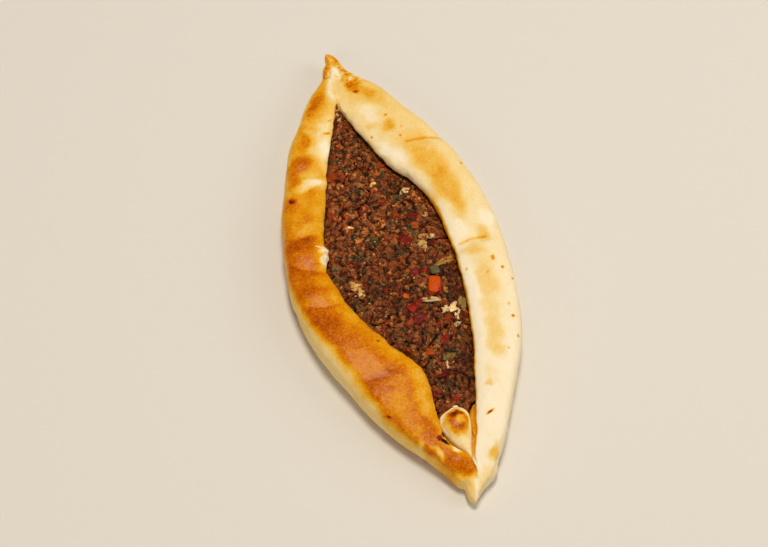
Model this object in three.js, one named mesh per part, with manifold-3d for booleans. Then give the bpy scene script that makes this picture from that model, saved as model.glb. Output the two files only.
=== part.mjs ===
// A boat-shaped open meat pie. One sheet of dough lies flat under a layer of minced meat, its long sides
// fold in over the meat, and both ends are pinched shut. Millimetres, +Z up, the long axis along Y.
import * as THREE from "three";
import { mergeVertices } from "three/addons/utils/BufferGeometryUtils.js";
import Module from "manifold-3d";

const wasm = await Module();
wasm.setup();

const { lerp, smoothstep, degToRad, seededRandom } = THREE.MathUtils;

// Dough
const NEAR_TIP = -159; // y of the blunt tip
const FAR_TIP = 159; // y of the twisted tip
const TIP_ROUND = 6; // length over which a tip rounds off
const BASE = 5; // thickness under the meat
const LIP = 5.5; // thickness of a folded edge where it ends over the meat
const SEAM_WIDTH = 1.4; // between the folds where they meet at the ends
const SEAM_BED = 0.6; // the seam's floor lies this much under the folds' edges
const RIDGE_PLACE = 0.42; // where the crest lies across a fold, from the outside
const WIDEST_PLACE = 0.4; // height of the widest line as a share of the crest
const FOOT_INSET = 8; // the flat underside ends this far in from the widest line
const FOOT_SHARE = 0.3; // and at the tips this share of the width
const SIDE_ROUND = 2.3; // how square the curves are: 2 is an ellipse
const TOP_ROUND = 2.2;
const FOOT_ROUND = 2.4;

// Pocket for the meat
const POCKET_TOP = 13.5; // underside of the folded edges
const POCKET_NEAR = -107; // end wall at the tongue
const POCKET_WALL = 0.8; // slope of that wall
const TUCK = 6; // how far the meat runs in under the folded edges
const SHUT_TUCK = 0.2; // the same where the folds are shut
const OPEN_FROM = 3; // width between the folds where the pocket starts to open
const OPEN_TO = 16; // and where it is fully open
const GAP = 0.3; // between the dough and the meat
const CLEAR = 3; // how far along the pocket the meat keeps clear of its walls

// Plan of the dough, as [y, x] points: the widest line of each side, and the edge of each fold
const OUTER_LEFT = through([
  [NEAR_TIP, -1.5], [-151, -4], [-148, -4.8], [-142, -9.5], [-101, -38], [-48, -59.6], [-10, -65.3],
  [38, -58], [88, -41], [126, -19.5], [135, -10.5], [141, -6.4], [146, -4.4], [150, -0.8], [154, -0.8],
  [FAR_TIP, -0.4],
]);
const OUTER_RIGHT = through([
  [NEAR_TIP, 3], [-151, 9], [-142, 17.5], [-116, 33], [-71, 55], [-22, 64.5], [16, 65], [54, 59], [80, 49.5],
  [102, 36.5], [120, 27.5], [126, 23], [132, 18], [140, 13.4], [147, 10.4], [151, 7.4], [155, 5],
  [FAR_TIP, 2.6],
]);
const LIP_LEFT = through([
  [NEAR_TIP, 0.2], [-150, 3.2], [-138, 4.5], [-128, -4], [-121, -7], [-110, -6.4], [-79, -6.5], [-62, -17],
  [-37, -31.5], [-6, -39.5], [10, -39], [64, -23.6], [112, -5.5], [129, -2.5], [148, 2], [FAR_TIP, 0.4],
]);
const LIP_RIGHT = through([
  [NEAR_TIP, 1.6], [-150, 4.6], [-138, 6], [-112, 13.4], [-61, 28], [-16, 33.4], [12, 33.2],
  [28, 31.6], [44, 25.5], [64, 12.8], [102, -0.5], [116, -3.5], [129, -1], [148, 3.4], [FAR_TIP, 1.8],
]);

// Heights along the pie, as [y, z] points: the folds' crests, the depth of the seam and the lift of the ends
const CREST_LEFT = through([
  [NEAR_TIP, 9], [-150, 12.5], [-127, 18], [-72, 23.5], [-2, 22.5], [68, 20], [123, 17], [144, 14],
  [FAR_TIP, 12.5],
]);
const CREST_RIGHT = through([
  [NEAR_TIP, 9], [-150, 13.5], [-127, 18], [-72, 21.5], [-2, 22], [58, 23.5], [108, 20.5], [138, 15.5],
  [148, 13.5], [FAR_TIP, 12.5],
]);
const SEAM_DEPTH = through([
  [NEAR_TIP, 0.4], [-146, 0.5], [-142, 1.4], [-137, 3.5], [-124, 7], [-106, 8], [98, 5], [112, 3.5],
  [118, 1.8], [125, 0.6], [FAR_TIP, 0.4],
]);
const LIFT = through([[NEAR_TIP, 2], [-151, 0.5], [-144, 0], [138, 0], [148, 2], [153, 5.5], [FAR_TIP, 7.5]]);

// Shallow creases across the folds: [side, y, depth, half width]
const CREASES = [
  [-1, 99, 0.6, 5], [-1, 68, 0.6, 6], [-1, 8, 0.9, 6], [-1, -40, 0.8, 7], [-1, -79, 0.8, 8],
  [1, 70, 0.9, 5], [1, 28, 0.5, 7], [1, -5, 0.9, 5], [1, -62, 0.5, 8],
];

// The tongue of dough that turns in over the meat between the folds at the blunt end
const TONGUE = { y: -120.5, halfLength: 14, height: 7, power: 2.6 };

// Minced meat
const MEAT_NEAR = POCKET_NEAR + GAP;
const MEAT_FAR = 107;
const MEAT_CROWN = 1.2; // the middle stands this much above the edges
const MEAT_EDGE = 6; // width over which it rises from the edges
const CRUMB = 1.5; // height of the crumbs
const CRUMB_SEED = 7; // and the draw that places them

// One large dice of pepper, and the smaller pieces in the meat: [x, y, length, width, turn in degrees]
const DICE = { x: 16.6, y: -27, length: 10.6, width: 6.8, height: 6.6, turn: -16, sink: 4.2 };
const PIECES = [
  [9, 7.4, 7.4, 5.4, 50], [1.2, -36.8, 7, 5, -46], [1.4, -46.6, 9, 3.6, -56], [2.3, -83.3, 9, 3.4, 84],
  [-20.5, 63, 6.4, 4.4, 90], [25.5, -12.4, 9, 3.4, -88], [17, 0, 6, 4, 64], [-27.8, -14.6, 6, 4.6, 0],
  [20.2, -44, 7, 4.6, -86], [-28.1, 36.6, 5, 3.4, -86], [8.4, -14.4, 5, 4, 0], [1.7, 50.7, 4.6, 3.4, -46],
  [-6.5, -51, 6, 3, -60], [12, -62, 5, 3.4, -36], [18.4, 41.6, 4.6, 3.4, 0],
];
const PIECE_HEIGHT = 3;
const PIECE_SINK = 1.7;
const CUBE_SWELL = 1.12; // how a cut cube's faces swell and its corners draw in
const CUBE_DRAW = 0.32;

// Points round a section, and sections along the length
const WALL = 5;
const TOP = 7;
const NOSE = 3;
const FLOOR = 6;
const UNDERSIDE = 2;
const NEAR_ROWS = 22;
const MIDDLE_ROWS = 45;
const FAR_ROWS = 14;
const FAR_START = 122; // y from which the sections crowd towards the twisted tip
const TIP_CROWD = 0.8;
const MEAT_ACROSS = 23;
const MEAT_ROWS = 78;

// A smooth curve through [y, value] points, level beyond its ends.
function through(points) {
  const last = points.length - 1;
  const slope = (i) => {
    const [y0, v0] = points[Math.max(i - 1, 0)];
    const [y1, v1] = points[Math.min(i + 1, last)];
    return (v1 - v0) / (y1 - y0);
  };
  return (y) => {
    if (y <= points[0][0]) return points[0][1];
    if (y >= points[last][0]) return points[last][1];
    const i = points.findIndex((point) => point[0] > y) - 1;
    const [y0, v0] = points[i];
    const [y1, v1] = points[i + 1];
    const span = y1 - y0;
    const t = (y - y0) / span;
    const rise = t * t * (3 - 2 * t);
    const out = t * (1 - t) * (1 - t) * span * slope(i);
    const back = t * t * (t - 1) * span * slope(i + 1);
    return lerp(v0, v1, rise) + out + back;
  };
}

// Points on part of a superellipse about (x, z), from one angle towards another, without the last one.
function arc(count, x, z, reachX, reachZ, from, to, power = 2) {
  const bend = (value) => Math.sign(value) * Math.abs(value) ** (2 / power);
  return Array.from({ length: count }, (_, i) => {
    const angle = degToRad(lerp(from, to, i / count));
    return [x + reachX * bend(Math.cos(angle)), z + reachZ * bend(Math.sin(angle))];
  });
}

// Numbers from one to another, both included.
function spread(count, from, to, ease = (t) => t) {
  return Array.from({ length: count + 1 }, (_, i) => lerp(from, to, ease(i / count)));
}

// Where the two folds end at y. They never quite meet.
function lips(y) {
  const left = LIP_LEFT(y);
  return { left, right: Math.max(LIP_RIGHT(y), left + SEAM_WIDTH) };
}

// The height of a fold's crest at y, with the creases across it. Side is -1 for left and 1 for right.
function crestOf(y, side) {
  const plain = side < 0 ? CREST_LEFT(y) : CREST_RIGHT(y);
  return CREASES.filter((crease) => crease[0] === side).reduce(
    (z, [, at, depth, half]) => z - depth * Math.exp(-(((y - at) / half) ** 2)),
    plain,
  );
}

// The pocket at y: the underside of the folds, its floor, and how far it runs in under them. It closes where
// the folds meet, and ends at its wall.
function pocket(y) {
  const { left, right } = lips(y);
  const open = smoothstep(right - left, OPEN_FROM, OPEN_TO);
  const shut = Math.min(CREST_LEFT(y), CREST_RIGHT(y)) - SEAM_DEPTH(y);
  const under = lerp(shut, Math.min(POCKET_TOP, shut), open);
  const deep = y < POCKET_NEAR ? 0 : open;
  return { under, floor: lerp(under - SEAM_BED, BASE, deep), tuck: lerp(SHUT_TUCK, TUCK, deep) };
}

// One fold at y, from its widest line over the crest and round its edge to the pocket's wall.
function fold(y, side) {
  const { under, floor, tuck } = pocket(y);
  const outer = side < 0 ? OUTER_LEFT(y) : OUTER_RIGHT(y);
  const edge = side < 0 ? lips(y).left : lips(y).right;
  const crest = crestOf(y, side);
  const ridge = lerp(outer, edge, RIDGE_PLACE);
  const widest = lerp(LIFT(y), crest, WIDEST_PLACE);
  const nose = Math.min(LIP, crest - under) / 2;
  const back = Math.min(nose, tuck / 2);
  const wall = edge + side * tuck;
  return [
    ...arc(WALL, ridge, widest, outer - ridge, crest - widest, 0, 90, SIDE_ROUND),
    ...arc(TOP, ridge, under + nose, edge - ridge, crest - under - nose, 90, 0, TOP_ROUND),
    ...arc(NOSE, edge + side * back, under + nose, -side * back, nose, 0, -90),
    [edge + side * back, under],
    [wall, under],
    [wall, lerp(under, floor, 0.5)],
  ];
}

// Height of the dough between the folds: the pocket's floor, with the tongue on it beyond the end wall.
function between(x, y) {
  const { left, right } = lips(y);
  const { power } = TONGUE;
  const across = Math.abs((2 * x - left - right) / (right - left)) ** power;
  const along = Math.abs((y - TONGUE.y) / TONGUE.halfLength) ** power;
  const dome = TONGUE.height * Math.max(0, 1 - across - along) ** (1 / power);
  return pocket(y).floor + (y < POCKET_NEAR ? dome : 0);
}

// The flat underside at y, with the curve up to the widest line at either side.
function sole(y) {
  const foot = LIFT(y);
  const inset = Math.min(FOOT_INSET, FOOT_SHARE * (OUTER_RIGHT(y) - OUTER_LEFT(y)));
  const right = { x: OUTER_RIGHT(y) - inset, z: lerp(foot, crestOf(y, 1), WIDEST_PLACE) };
  const left = { x: OUTER_LEFT(y) + inset, z: lerp(foot, crestOf(y, -1), WIDEST_PLACE) };
  return [
    ...arc(NOSE, right.x, right.z, inset, right.z - foot, 0, -90, FOOT_ROUND),
    ...spread(UNDERSIDE, right.x, left.x).map((x) => [x, foot]),
    ...arc(NOSE, left.x, left.z, -inset, left.z - foot, -90, 0, FOOT_ROUND).slice(1),
  ];
}

function middle(outline) {
  const sum = outline.reduce(([x, z], point) => [x + point[0], z + point[1]], [0, 0]);
  return sum.map((total) => total / outline.length);
}

// The closed outline of the dough at y, from the left side over the top to the right and back underneath.
function doughSection(y) {
  const left = fold(y, -1);
  const right = fold(y, 1).reverse();
  const inner = spread(FLOOR, left.at(-1)[0], right[0][0]).map((x) => [x, between(x, y)]);
  const outline = [...left, ...inner, ...right, ...sole(y).slice(1)];
  const fromTip = Math.min(1, (y - NEAR_TIP) / TIP_ROUND, (FAR_TIP - y) / TIP_ROUND);
  const close = Math.sqrt(1 - (1 - fromTip) ** 2);
  const [x0, z0] = middle(outline);
  return outline.map(([x, z]) => [lerp(x0, x, close), lerp(z0, z, close)]);
}

// The room for the meat at y: the least that the pocket leaves a little to either side of it.
function room(y) {
  const near = [Math.max(y - CLEAR, POCKET_NEAR), y, y + CLEAR];
  return {
    low: Math.max(...near.map((at) => lips(at).left - pocket(at).tuck)) + GAP,
    high: Math.min(...near.map((at) => lips(at).right + pocket(at).tuck)) - GAP,
    bottom: Math.max(...near.map((at) => pocket(at).floor)) + GAP,
    top: Math.min(...near.map((at) => pocket(at).under)) - GAP,
  };
}

// Height of the meat above the level of its edges, with a crumb of its own at each point.
function crown(x, y) {
  const { left, right } = lips(y);
  const inside = smoothstep(Math.min(x - left, right - x), 0, MEAT_EDGE);
  return inside * (MEAT_CROWN + CRUMB * (seededRandom() - 0.5));
}

// The closed outline of the meat at y, in the same order as the dough's.
function meatSection(y) {
  const { low, high, bottom, top } = room(y);
  const surface = spread(MEAT_ACROSS, low, high).map((x) => [x, top + crown(x, y)]);
  return [...surface, [high, bottom], [lerp(high, low, 0.5), bottom], [low, bottom]];
}

// A ball whose poles become the two ends and whose rings become the sections at the rows' places.
function mould(section, rows) {
  const points = section(rows[1]).length;
  const ball = new THREE.SphereGeometry(1, points, rows.length - 1);
  const { position, uv } = ball.attributes;
  const outlines = rows.map((y) => section(y));
  for (let k = 0; k < position.count; k += 1) {
    const row = Math.round(uv.getY(k) * (rows.length - 1));
    const outline = outlines[row];
    const pole = row === 0 || row === rows.length - 1;
    const [x, z] = pole ? middle(outline) : outline[Math.round(uv.getX(k) * points) % points];
    position.setXYZ(k, x, rows[row], z);
  }
  ball.deleteAttribute("uv");
  ball.deleteAttribute("normal");
  return mergeVertices(ball, 1e-3);
}

// A cut cube of vegetable: a box with swollen faces and drawn-in corners, turned to lie at its place.
function cube(x, y, z, length, width, height, turn) {
  const box = new THREE.BoxGeometry(width, length, height, 2, 2, 2);
  const { position } = box.attributes;
  const at = new THREE.Vector3();
  for (let k = 0; k < position.count; k += 1) {
    at.fromBufferAttribute(position, k);
    const out = (at.x / width) ** 2 + (at.y / length) ** 2 + (at.z / height) ** 2;
    at.multiplyScalar(CUBE_SWELL - CUBE_DRAW * out);
    position.setXYZ(k, at.x, at.y, at.z);
  }
  box.deleteAttribute("uv");
  box.deleteAttribute("normal");
  box.rotateZ(degToRad(turn)).translate(x, y, z);
  return mergeVertices(box, 1e-3);
}

function dice(grow) {
  const z = POCKET_TOP + MEAT_CROWN + DICE.height / 2 - DICE.sink;
  const size = [DICE.length, DICE.width, DICE.height].map((value) => value + 2 * grow);
  return cube(DICE.x, DICE.y, z, ...size, DICE.turn);
}

function solid(geometry) {
  return new wasm.Manifold(
    new wasm.Mesh({
      numProp: 3,
      vertProperties: new Float32Array(geometry.attributes.position.array),
      triVerts: new Uint32Array(geometry.index.array),
    }),
  );
}

function geometryOf(body) {
  const { vertProperties, triVerts } = body.getMesh();
  return new THREE.BufferGeometry()
    .setAttribute("position", new THREE.BufferAttribute(vertProperties, 3))
    .setIndex(new THREE.BufferAttribute(triVerts, 1));
}

function named(name, geometry, color, roughness) {
  const mesh = new THREE.Mesh(geometry, new THREE.MeshStandardMaterial({ color, roughness, metalness: 0 }));
  mesh.name = name;
  return mesh;
}

const fromNear = (t) => lerp(t, 1 - Math.cos((t * Math.PI) / 2), TIP_CROWD);
const toFar = (t) => lerp(t, Math.sin((t * Math.PI) / 2), TIP_CROWD);
const dough = mould(doughSection, [
  ...spread(NEAR_ROWS, NEAR_TIP, POCKET_NEAR - POCKET_WALL, fromNear),
  ...spread(MIDDLE_ROWS, POCKET_NEAR, FAR_START),
  ...spread(FAR_ROWS, FAR_START, FAR_TIP, toFar).slice(1),
]);

seededRandom(CRUMB_SEED);
let meat = solid(mould(meatSection, [MEAT_NEAR, ...spread(MEAT_ROWS, MEAT_NEAR, MEAT_FAR), MEAT_FAR]));
for (const [x, y, length, width, turn] of PIECES) {
  const z = room(y).top + MEAT_CROWN + PIECE_HEIGHT / 2 - PIECE_SINK;
  meat = meat.add(solid(cube(x, y, z, length, width, PIECE_HEIGHT, turn)));
}
meat = meat.subtract(solid(dice(GAP)));

const pie = new THREE.Group();
pie.add(
  named("crust", dough, "#e2a654", 0.55),
  named("meat_filling", geometryOf(meat), "#6b3a1e", 0.7),
  named("pepper_dice", dice(0), "#c8501a", 0.4),
);

// The origin is on the floor under the middle of the pie.
const bounds = new THREE.Box3().setFromObject(pie);
const centre = bounds.getCenter(new THREE.Vector3());
for (const mesh of pie.children) mesh.geometry.translate(-centre.x, -centre.y, -bounds.min.z);

export default pie;
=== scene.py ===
"""An open boat-shaped meat pie: a thick dough crust folded over a crumbly minced filling."""

import math
from types import SimpleNamespace

import bmesh
import bpy
import numpy as np
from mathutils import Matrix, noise


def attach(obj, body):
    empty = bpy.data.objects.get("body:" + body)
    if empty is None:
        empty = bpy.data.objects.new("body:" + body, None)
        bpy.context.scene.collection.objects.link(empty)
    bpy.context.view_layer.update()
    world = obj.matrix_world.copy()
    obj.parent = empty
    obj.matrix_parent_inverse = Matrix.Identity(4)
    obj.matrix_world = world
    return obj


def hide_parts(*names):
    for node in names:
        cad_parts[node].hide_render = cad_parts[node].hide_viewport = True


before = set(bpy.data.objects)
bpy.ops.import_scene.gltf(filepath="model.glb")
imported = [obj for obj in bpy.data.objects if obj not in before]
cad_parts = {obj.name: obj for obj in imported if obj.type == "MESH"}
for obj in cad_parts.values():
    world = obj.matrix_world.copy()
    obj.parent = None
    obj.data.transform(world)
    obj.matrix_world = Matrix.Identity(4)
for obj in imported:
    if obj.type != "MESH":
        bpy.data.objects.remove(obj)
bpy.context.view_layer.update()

MM = 0.001
# The outline below is this much off the middle of its box.
SHIFT_X = -0.17
draw = np.random.default_rng(29)

# The crust's plan and heights, as (y, value) in mm along the pie from its near tip to its far tip.
NEAR_TIP = -159.0
FAR_TIP = 159.0
LEFT, RIGHT = -1, 1
OUTER = {
    LEFT: [(NEAR_TIP, -2.4), (-156, -3.4), (-151, -3.4), (-148.8, -3.8), (-146.8, -6.8), (-142, -9.5),
           (-134, -14.5), (-101, -38), (-48, -59.6), (-10, -65.3), (38, -58), (88, -41), (112, -27.2),
           (121, -21.4), (126, -17.6), (131, -12.8), (136, -8.2), (141, -5.6), (146, -4.4), (150, -0.8),
           (154, -0.8), (FAR_TIP, -0.4)],
    RIGHT: [(NEAR_TIP, 0.4), (-156, 3), (-153, 5.8), (-150.4, 9.2), (-147.6, 13.6), (-144, 16.8),
            (-141, 18), (-134, 22.6), (-116, 33), (-71, 55), (-22, 64.5), (16, 64.4), (54, 58), (80, 48.5),
            (102, 36.2), (120, 27.5), (126, 22.8), (132, 16.8), (137, 12.2), (142, 9.2), (147, 8),
            (151, 6.8), (155, 4.8), (FAR_TIP, 2.6)],
}
LIP_LINE = {
    LEFT: [(NEAR_TIP, 0.2), (-150, 3.2), (-138, 4.5), (-128, -4), (-121, -7), (-110, -6.4), (-79, -6.5),
           (-62, -17), (-37, -31.5), (-6, -39.5), (10, -39), (64, -23.6), (112, -5.5), (129, -2.5),
           (148, 2), (FAR_TIP, 0.4)],
    RIGHT: [(NEAR_TIP, 1.6), (-150, 4.6), (-138, 6), (-128, 9.4), (-121, 11.9), (-112, 14.2), (-61, 28),
            (-16, 33.4), (12, 33.2), (28, 31.6), (44, 25.5), (64, 12.8), (102, -0.5), (116, -3.5),
            (129, -1), (148, 3.4), (FAR_TIP, 1.8)],
}
CREST = {
    LEFT: [(NEAR_TIP, 9), (-150, 12.5), (-127, 18), (-72, 23.5), (-2, 22.5), (68, 20), (123, 17), (144, 14),
           (FAR_TIP, 12.5)],
    RIGHT: [(NEAR_TIP, 9), (-150, 12.5), (-140, 14.6), (-127, 18), (-72, 21.5), (-2, 22), (58, 23.5),
            (108, 20.5), (138, 15.5), (148, 13.5), (FAR_TIP, 12.5)],
}
SEAM_DEPTH = [
    (NEAR_TIP, 0.05), (-146, 0.05), (-142, 0.4), (-137, 1.8), (-130, 3.4), (-124, 4.6),
    (-117, 6), (-106, 8), (98, 5), (112, 3.5), (118, 1.6), (125, 0.1), (FAR_TIP, 0.05),
]
LIFT = [(NEAR_TIP, 2), (-151, 0.5), (-144, 0), (138, 0), (148, 2), (153, 5.5), (FAR_TIP, 7.5)]
# The length of the rounded tips, the dough under the filling and the thickness of a lip.
TIP_ROUND = 6.0
BASE = 5.0
LIP = 5.5
# The seam where the lips meet, the groove along it, and where along y groove and opening begin and end.
SEAM_WIDTH = 1.4
SEAM_BED = 0.6
SEAM_BED_Y = ((-148, -142), (114, 124))
OPENING_Y = ((-143, -136.5), (107, 117))
# Where a fold is highest, as a share of the way from outline to lip, in the middle and at the near tip,
# and how far toward that tip it changes. A wall is widest at a share of its height.
RIDGE_PLACE = 0.37
TIP_RIDGE = 0.9
TIP_RIDGE_REACH = (140, 152)
WIDEST_PLACE = 0.4
FOOT_INSET = 8.0
FOOT_SHARE = 0.3
# How full the rounded corners of a slice are: 2 is an ellipse, more is squarer.
SIDE_ROUND = 3.0
TOP_ROUND = 2.5
NOSE_ROUND = 2.0
FOOT_ROUND = 2.4
# The pocket for the filling: its ends, how far it runs in under the lips, and how wide the opening is
# where it begins to deepen and where it is full.
POCKET_TOP = 13.5
POCKET_NEAR = -117.0
MEAT_FAR = 109.0
TUCK = 6.0
SHUT_TUCK = 0.2
OPEN_WIDTH = (3.0, 16.0)
GAP = 0.3
# How far the foot of the right wall stands in from its lip beside the loose end of dough.
HEEL = [(-126, 0), (-120, 3.2), (-111, 3.4), (-103, 0)]

# Shallow valleys across the folds, as (y, depth, half width).
CREASES = {
    LEFT: [(99, 0.6, 4), (68, 0.6, 5), (-108, 0.6, 6)],
    RIGHT: [(70, 1.0, 4), (28, 0.5, 7), (-5, 1.0, 4.5), (-62, 0.5, 8)],
}
# Sharp baked creases on the right fold, each as the x, y of its two ends.
CREASE_LINES = [(28, 71, 38, 71), (38, 71, 50, 69.5), (37, -6.5, 45, -5.4), (45, -5.4, 53, -6.4)]
LINE_DEPTH = 0.45
LINE_HALF = 0.75

# Creases where one bulge of a fold ends and the next begins, as (x, y, way to the next bulge in degrees,
# depth, length over which the bulge rounds down to it, length over which the next one rises again,
# half length, softness).
LEDGES = {
    LEFT: [(-50, 21, -100, 0.7, 9, 8, 13, 2), (-53, -1, -117, 1.5, 12, 7, 17, 0.8),
           (-50, -27.8, -97, 1.8, 10, 12, 15, 0.5), (-31.5, -78, -79, 1.35, 20, 10, 17, 4),
           (-35, 64, -110, 0.6, 7, 7, 12, 1), (-23, 100, -113, 0.5, 7, 7, 9, 1),
           (1, -143, -66, 1.4, 8, 6, 8, 0.8)],
    RIGHT: [(42, 71, 110, 0.6, 7, 8, 13, 1), (46, -5, 92, 0.6, 7, 8, 12, 1)],
}
LEDGE_CURVE = 0.025
# How much browner the dough is past a crease, and how much paler before one, where the pale is a painted
# highlight.
LEDGE_BROWN, LEDGE_HIGHLIGHT_PALE = 0.1, 0.06

# How brown each fold is along the pie, from 0, pale dough, to 1, burnt; the darker tone at the near tip is
# painted shade.
BROWN = {
    LEFT: [(NEAR_TIP, 0.15), (-149, 0.13), (-146, 0.3), (-140, 0.56), (-122, 0.62), (-100, 0.61),
           (-60, 0.62), (-20, 0.62), (12, 0.62), (30, 0.56), (48, 0.46), (60, 0.42), (110, 0.42),
           (130, 0.43), (146, 0.45), (FAR_TIP, 0.52)],
    RIGHT: [(NEAR_TIP, 0.15), (-146, 0.11), (-140, 0.03), (-110, 0.0), (-60, 0.03), (0, 0.08), (60, 0.14),
            (100, 0.18), (122, 0.25), (140, 0.3), (150, 0.42), (FAR_TIP, 0.5)],
}
# Where the browning of the left fold begins and is full, as shares of the way from its outline to its lip.
FLANK_Y = [-146, -124, -104, -55, -12, 40, 75, 110]
FLANK_PALE = [-0.1, -0.05, -0.03, 0.02, -0.06, -0.08, -0.03, -0.02]
FLANK_BROWN = [0.06, 0.11, 0.15, 0.26, 0.11, 0.08, 0.13, 0.17]
FLANK_TONE = {LEFT: 0.14, RIGHT: 0.05}
# How raggedly that border runs, and over which shares of its height the right fold's flank begins to brown.
FLANK_WARP = {LEFT: 0.014, RIGHT: 0.04}
FLANK_RISE = (0.62, 0.92)
# How much paler each fold is at its lip, and over which shares of the way from outline to lip.
LIP_PALE = {LEFT: 0.15, RIGHT: 0.06}
LIP_PALE_PLACE = {LEFT: (0.6, 0.92), RIGHT: (0.7, 0.9)}
# The left fold's patches deepen ever more slowly past this.
DEEP_BROWN, DEEP_EASE = 0.58, 0.1
# Baked patches as (x, y, half length across, half length along, turn in degrees, how much browner); a few
# pale ones are painted light and one is painted shade, as marked below.
LEFT_PATCHES = [
    (-17, 116.5, 4.2, 9.5, -38, 0.26), (-14.5, 102, 5, 8, -15, -0.12),
    (-23.5, 81, 7.5, 8, -15, -0.24), (-22, 96, 7, 5.5, 0, -0.18), (-18.5, 89, 4.5, 8, -15, -0.16),
    (-3.8, 141, 2.4, 6, -20, 0.14), (-31, 89, 4, 8, -15, 0.13), (-38.5, 73, 8, 6.6, 0, 0.26),
    (-27.5, 63.5, 4, 5, -15, 0.14), (-44, 62, 5, 6, 0, 0.14), (-36, 58, 9, 3.8, 10, -0.33),
    (-35, 63.5, 6, 4.4, 10, -0.14), (-33, 46, 5, 7, 0, 0.1), (-50, 45, 5, 6, 0, 0.12),
    (-46, 26, 7, 5, 0, -0.12), (-50, 16.5, 10, 4.4, 8, 0.09), (-57, 15, 4, 5, 0, 0.1),
    (-49, 7, 8, 4, 0, -0.03), (-49, -10, 7, 5, 0, -0.1), (-56, -15, 7, 4.6, 20, 0.09),
    # The pale patch at -47, -22.5 is a painted highlight just before a crease.
    (-47, -22.5, 8, 2.4, -5, -0.08), (-50, -40, 9, 7, 20, 0.06), (-57, -38, 8, 5, 20, 0.05),
    (-40, -38, 5, 9, 40, -0.12), (-48, -50, 7, 6, 30, 0.08), (-38, -62, 8, 6, 30, -0.03),
    # The pale patch at -33, -83 is painted light over a crease's shade and browning, and the one at -25, -97
    # is a painted highlight.
    (-33, -83, 5, 2.6, 11, -0.04), (-11, -82, 4, 8, 10, -0.08), (-22, -88, 5, 9, 20, -0.09),
    (-25, -97, 6, 8, 20, -0.1), (-13, -100, 3, 9, 0, -0.12), (-14, -114, 4, 8, 10, 0.16),
    (-23, -114, 5, 7, 30, -0.08), (-14.4, -131, 1.8, 3.6, 25, -0.36), (-21, -123, 3, 2, 30, -0.3),
    (-8, -132, 5, 4, 0, 0.1), (-0.5, -141, 7, 4.6, -25, 0.26), (-20, -130, 2, 1.4, 0, 0.25),
    # The patch at -2.4, -152 darkens the near tip's left side as painted shade.
    (-2.4, -152, 3, 5, 0, 0.08),
]
RIGHT_PATCHES = [
    (31, 69, 8.5, 8, 25, 0.13), (37, 53, 9, 12, 20, 0.2), (28, 55, 5, 8, 30, 0.05),
    (41, 34, 8, 12, 8, 0.25), (44, 17, 5, 8, 5, 0.22), (21, 85, 4, 5, 0, 0.2), (11, 88, 4, 2.5, 0, 0.12),
    (8, 131, 5, 11, 10, 0.12), (10, 126, 4, 5, 0, 0.2), (13.5, 117.5, 5, 8, 45, 0.16),
    # The long pale strips at 19, 66, at 35.5, -35 and at 30, -62 lie along the inner slope as painted sheen.
    (18.5, 108.5, 5, 9, 30, 0.08), (13, 99, 5, 9, 20, -0.12), (19, 66, 4, 11, 30, -0.1),
    (40, 3, 5, 6, 0, -0.12), (58, 6, 4, 6, 0, -0.12), (52, -5, 4, 5, 0, 0.2), (44, -13, 6, 5, 0, 0.15),
    (47, -23, 6, 9, 10, 0.08), (45, -37, 6, 10, 12, 0.15), (35.5, -35, 3.6, 14, 10, -0.12),
    (41, -52, 5.5, 11, 14, 0.11), (39, -66, 5, 8, 14, 0.17), (36, -78, 4.6, 8, 14, 0.18),
    (30, -62, 3, 16, 12, -0.1), (29, -92, 4, 8, 20, 0.06), (25, -98, 3, 2.4, 0, 0.2),
    (17, -137.4, 2.8, 4.6, -25, 0.3), (4, 151, 3, 6, 20, 0.05), (3, 137.5, 3, 4, 10, -0.2),
    (9.5, 131, 2.6, 2.6, 0, -0.2), (12.5, 136, 1.8, 2.4, 0, -0.2),
]
# How sharply a patch ends: 1 fades softly, more is crisper.
MARK_EDGE = 1.9
# How ragged patches are, as (size, reach, shift), with shifts for x and y, and the share on small marks.
PATCH_WARP = [(9, 2.8, 0), (3.4, 1.1, 1.1), (1.4, 0.4, 2.3)]
WARP_SHIFTS = (3.9, 7.3)
SMALL_WARP = 0.3
# Small burnt marks as (x, y, half length across, half length along, turn in degrees, how much browner).
BURNT = [
    (-48.5, 48.4, 2.2, 2.4, 0, 0.36), (-15.8, 92.5, 2.4, 0.9, 0, 0.36),
    (-11.8, 102, 1.6, 0.8, 20, 0.3), (9.6, 118.6, 1.6, 1.3, 0, 0.4), (52.6, -22.2, 1.1, 1.7, 20, 0.6),
    (21, -114.7, 0.7, 2.2, -64, 0.9), (22, 94, 0.7, 0.7, 0, 0.7), (28, 82, 0.6, 0.6, 0, 0.6),
    (26, 76, 0.7, 0.7, 0, 0.6), (9, 81, 0.7, 0.7, 0, 0.6), (55, 47, 0.7, 0.7, 0, 0.6),
    (52, -54, 0.6, 0.6, 0, 0.6), (56.5, -29.7, 0.8, 0.8, 0, 0.7), (52, -62, 0.9, 0.9, 0, 0.75),
    (46.6, -31, 0.6, 0.6, 0, 0.4), (35.8, -24.5, 0.6, 0.6, 0, 0.6), (59.9, -37.7, 0.6, 0.6, 0, 0.7),
    (43, -81, 0.6, 0.6, 0, 0.5), (51, -75, 0.7, 0.7, 0, 0.6), (-33, -103, 0.7, 1.2, 30, 0.3),
    (-26, -57, 0.9, 0.9, 0, 0.3),
]
# The shares of a fold's height over which burnt marks begin to show.
BURNT_RISE = (0.3, 0.6)
# How brown the sharp creases are, and the share of the way to the lip where that ends.
LINE_BROWN, LINE_END = 0.25, 0.95
# Where the left lip has torn, as (x, y, half length across, half length along, turn, how far it stands out).
TORN = [(-39, 8.8, 3.2, 4.6, 10, 1.9), (-41, 3, 2.6, 3.6, 0, 0.3), (-3.2, -130.4, 1.9, 2.8, 50, 0.4)]
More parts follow.
